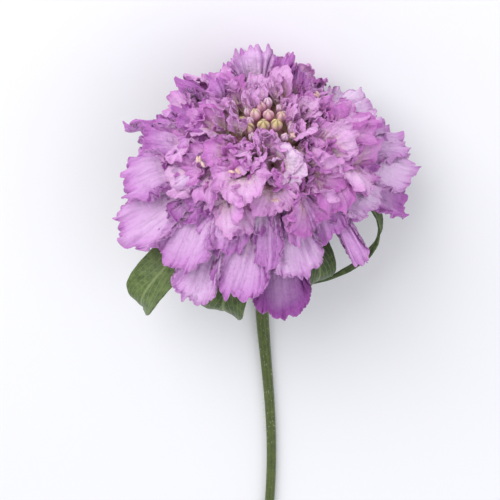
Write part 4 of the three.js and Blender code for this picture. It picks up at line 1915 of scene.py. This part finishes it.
@dataclass
class Stem:
    """The stem with the receptacle on top, its hairs and its slanting cut.

    The middle line is the one of the part's source, raised where the stem is thicker than there, so that
    its lower side stays above the table. The receptacle's sections are heights on the head's axis with
    their radii.
    """

    length: float = 152.0
    radius: float = 1.4
    upper_radius: float = 1.8
    lower_radius: float = 1.35
    taper_start: float = 44.0
    taper_length: float = 40.0
    neck_height: float = -11.5
    sway: float = 1.6
    sway_period: float = 112.0
    cut_slant: float = 2.4
    ribs: int = 9
    rib_height: float = 0.055
    skin_inset: float = 0.05
    sides: int = 36
    step: float = 1.5
    hairs: int = 420
    hair_rows: Pair = (3.0, 62.0)
    hair_lengths: Pair = (0.5, 1.0)
    hair_radii: Pair = (0.05, 0.015)
    clearance: float = 0.2
    receptacle: tuple[Pair, ...] = (
        (-4.9, 4.4),
        (-5.4, 5.0),
        (-6.4, 4.95),
        (-8.0, 4.6),
        (-9.0, 3.7),
        (-9.6, 3.0),
        (-10.5, 2.3),
    )

    def point(self, distance: float) -> np.ndarray:
        """The middle line: an arc from the neck to the table, then along it.

        Args:
            distance: How far along the line from the neck.

        Returns:
            The point there, in the part's frame.
        """
        slope = math.pi / 2 - TIP_OVER
        neck = HEAD_CENTRE + self.neck_height * HEAD_AXIS
        arc_radius = (neck[2] - self.radius) / (1 - math.cos(slope))
        arc_length = arc_radius * slope
        left = slope - min(distance, arc_length) / arc_radius
        straight = max(0.0, distance - arc_length)
        thicker = max(0.0, self.radius_at(distance) - self.radius)
        return np.array(
            [
                -self.sway * math.sin(math.tau * distance / self.sway_period),
                neck[1] - arc_radius * (math.sin(slope) - math.sin(left)) - straight,
                neck[2] - arc_radius * (math.cos(left) - math.cos(slope)) + thicker,
            ]
        )

    def radius_at(self, distance: float) -> float:
        """The radius at a distance from the neck, which gets less from where the taper starts."""
        share = min(1.0, max(0.0, (distance - self.taper_start) / self.taper_length))
        return mix(self.upper_radius, self.lower_radius, share * (2 - share))

    def sections(self) -> tuple[np.ndarray, np.ndarray]:
        """Cuts the receptacle and the stem into rows.

        Returns:
            The middle line's points and the radius at each.
        """
        distances = np.linspace(0.0, self.length, round(self.length / self.step) + 1)
        rows = [(HEAD_CENTRE + height * HEAD_AXIS, radius) for height, radius in self.receptacle]
        rows += [(self.point(distance), self.radius_at(distance)) for distance in distances]
        centres, radii = zip(*rows)
        return np.array(centres), np.array(radii)

    def build(self) -> None:
        """Builds and dresses the stem, its cut end and its hairs."""
        centres, radii = self.sections()
        last = len(centres) - 1

        def shape(u: np.ndarray, t: np.ndarray) -> np.ndarray:
            """The ribbed skin."""
            row = np.rint(t * last).astype(int)
            angle = -math.pi * u
            ribs = self.rib_height * np.sin(self.ribs * angle + 0.02 * row)
            ribs = ribs * np.where(row < len(self.receptacle), 0.4, 1.0)
            points = sweep(centres, radii[row] - self.skin_inset + ribs, AXIS_X, angle, row)
            points[:, 1] -= np.where(row == last, self.cut_slant * np.sin(angle), 0.0)
            return points

        tube = shaped_grid("stem_skin", self.sides, last, shape)
        close_seams(tube)
        cap_ends(tube)
        smooth_shading(tube, 50)
        dress(tube, [STEM_SKIN.material(), PITH.material()], Slot.STEM, "stem")
        caps = (face for face in tube.data.polygons if len(face.vertices) > 4)
        min(caps, key=lambda face: face.center.y).material_index = 1
        self.build_hairs(centres, radii)

    def build_hairs(self, centres: np.ndarray, radii: np.ndarray) -> None:
        """Short pale hairs on the upper stem and the receptacle.

        Args:
            centres: The middle line's points.
            radii: The radius at each.
        """
        spikes = []
        along = unit(np.gradient(centres, axis=0))
        for k in range(self.hairs):
            row = int(mix(*self.hair_rows, draw(k, 71) ** 1.4))
            angle = math.tau * draw(k, 72)
            up = unit(np.cross(AXIS_X, along[row]))
            out = np.cross(along[row], up) * math.cos(angle) + up * math.sin(angle)
            foot = centres[row] + out * (radii[row] - 0.1) + along[row] * (draw(k, 73) - 0.5)
            tip = foot + out * draw_between(self.hair_lengths, k, 74) + along[row] * 0.4 * draw(k, 75)
            if tip[2] >= self.clearance:
                spikes.append(spike("hair", foot, tip, 0.0, self.hair_radii))
        dress(join_spikes("stem_hairs", spikes), [HAIR.material()], Slot.STEM)


# The studio


@dataclass
class Studio:
    """The pale table, the soft lights and the camera at the photograph's angle.

    The head's middle is the point that lies `head_height` up the head's axis, and it shows at
    `head_pixel`.
    """

    look_down: float = 54.0
    distance: float = 350.0
    mm_per_pixel: float = 0.244
    image_side: float = 500.0
    head_pixel: Pair = (268.0, 123.0)
    head_height: float = 12.0
    sensor: float = 36.0
    lit_point: Point = (0.0, 40.0, 20.0)
    sky_colour: str = "#f6f7fc"
    sky_strength: float = 0.7
    table_side: float = 6000.0
    table_colours: tuple[str, str] = ("#f5f5f7", "#f8f8fa")
    table_grain: float = 250.0

    def camera(self) -> None:
        """Places the camera so that the head lies where the photograph has it."""
        tilt = math.radians(self.look_down)
        toward = math.sin(tilt) * HEAD_AXIS - math.cos(tilt) * HEAD_BACK
        up = math.sin(tilt) * HEAD_BACK + math.cos(tilt) * HEAD_AXIS
        right = np.cross(up, toward)
        x, y = (self.image_side / 2 - pixel for pixel in self.head_pixel)
        aim = HEAD_CENTRE + self.head_height * HEAD_AXIS + (x * right - y * up) * self.mm_per_pixel
        pick()
        bpy.ops.object.camera_add()
        eye = bpy.context.object
        eye.name = "camera"
        turn = Matrix(np.column_stack([right, up, toward])).to_4x4()
        eye.matrix_world = Matrix.Translation((aim + self.distance * toward) * MM) @ turn
        eye.data.sensor_width = self.sensor
        eye.data.lens = self.sensor * self.distance / (self.image_side * self.mm_per_pixel)
        eye.data.clip_start = 0.01
        bpy.context.scene.camera = eye

    def light(self, name: str, place: Point, size: float, power: float, colour: str) -> None:
        """A square soft light that faces the flower.

        Args:
            name: Its name.
            place: Where it stands.
            size: Its side.
            power: Its power in watts.
            colour: Its colour, as hex.
        """
        pick()
        bpy.ops.object.light_add(type="AREA", location=[c * MM for c in place])
        lamp = bpy.context.object
        lamp.name = name
        lamp.data.size = size * MM
        lamp.data.energy = power
        lamp.data.color = linear(colour)[:3]
        aim = Vector(self.lit_point) * MM - lamp.location
        lamp.rotation_euler = aim.to_track_quat("-Z", "Y").to_euler()

    def table(self) -> None:
        """A table top in pale matt paint, which the eye sees almost white and very slightly uneven."""
        pick()
        bpy.ops.mesh.primitive_plane_add(size=self.table_side * MM)
        top = bpy.context.object
        top.name = "table_top"
        m, _, (grain,), _ = start_material("table_matt_paint", [(self.table_grain, 2.0, 0.5)])
        stops = list(zip((0.3, 0.7), self.table_colours))
        colour = add_node(m, "ShaderNodeValToRGB", {0: grain}, stops=stops)
        paint = end_material(m, colour, (), (), {"Roughness": 0.8, "Specular IOR Level": 0.2})
        top.data.materials.append(paint)

    def build(self) -> None:
        """Sets up the studio."""
        world = bpy.data.worlds.new("studio")
        world.use_nodes = True
        sky = world.node_tree.nodes["Background"]
        sky.inputs["Color"].default_value = linear(self.sky_colour)
        sky.inputs["Strength"].default_value = self.sky_strength
        bpy.context.scene.world = world
        bpy.context.scene.view_settings.view_transform = "Standard"
        self.light("light_left", (-360, 480, 600), 620, 3.7, "#ffffff")
        self.light("light_right", (430, -60, 520), 460, 0.7, "#f6f8ff")
        self.table()
        self.camera()


def main() -> None:
    """Builds the flower and its studio."""
    logging.basicConfig(level=logging.INFO, format="%(message)s")
    for builder in (Stem(), Bracts(), Dome(), PetalRings(), Florets(), Buds(), Studio()):
        LOG.info("building %s", type(builder).__name__)
        builder.build()


if __name__ == "__main__":
    main()
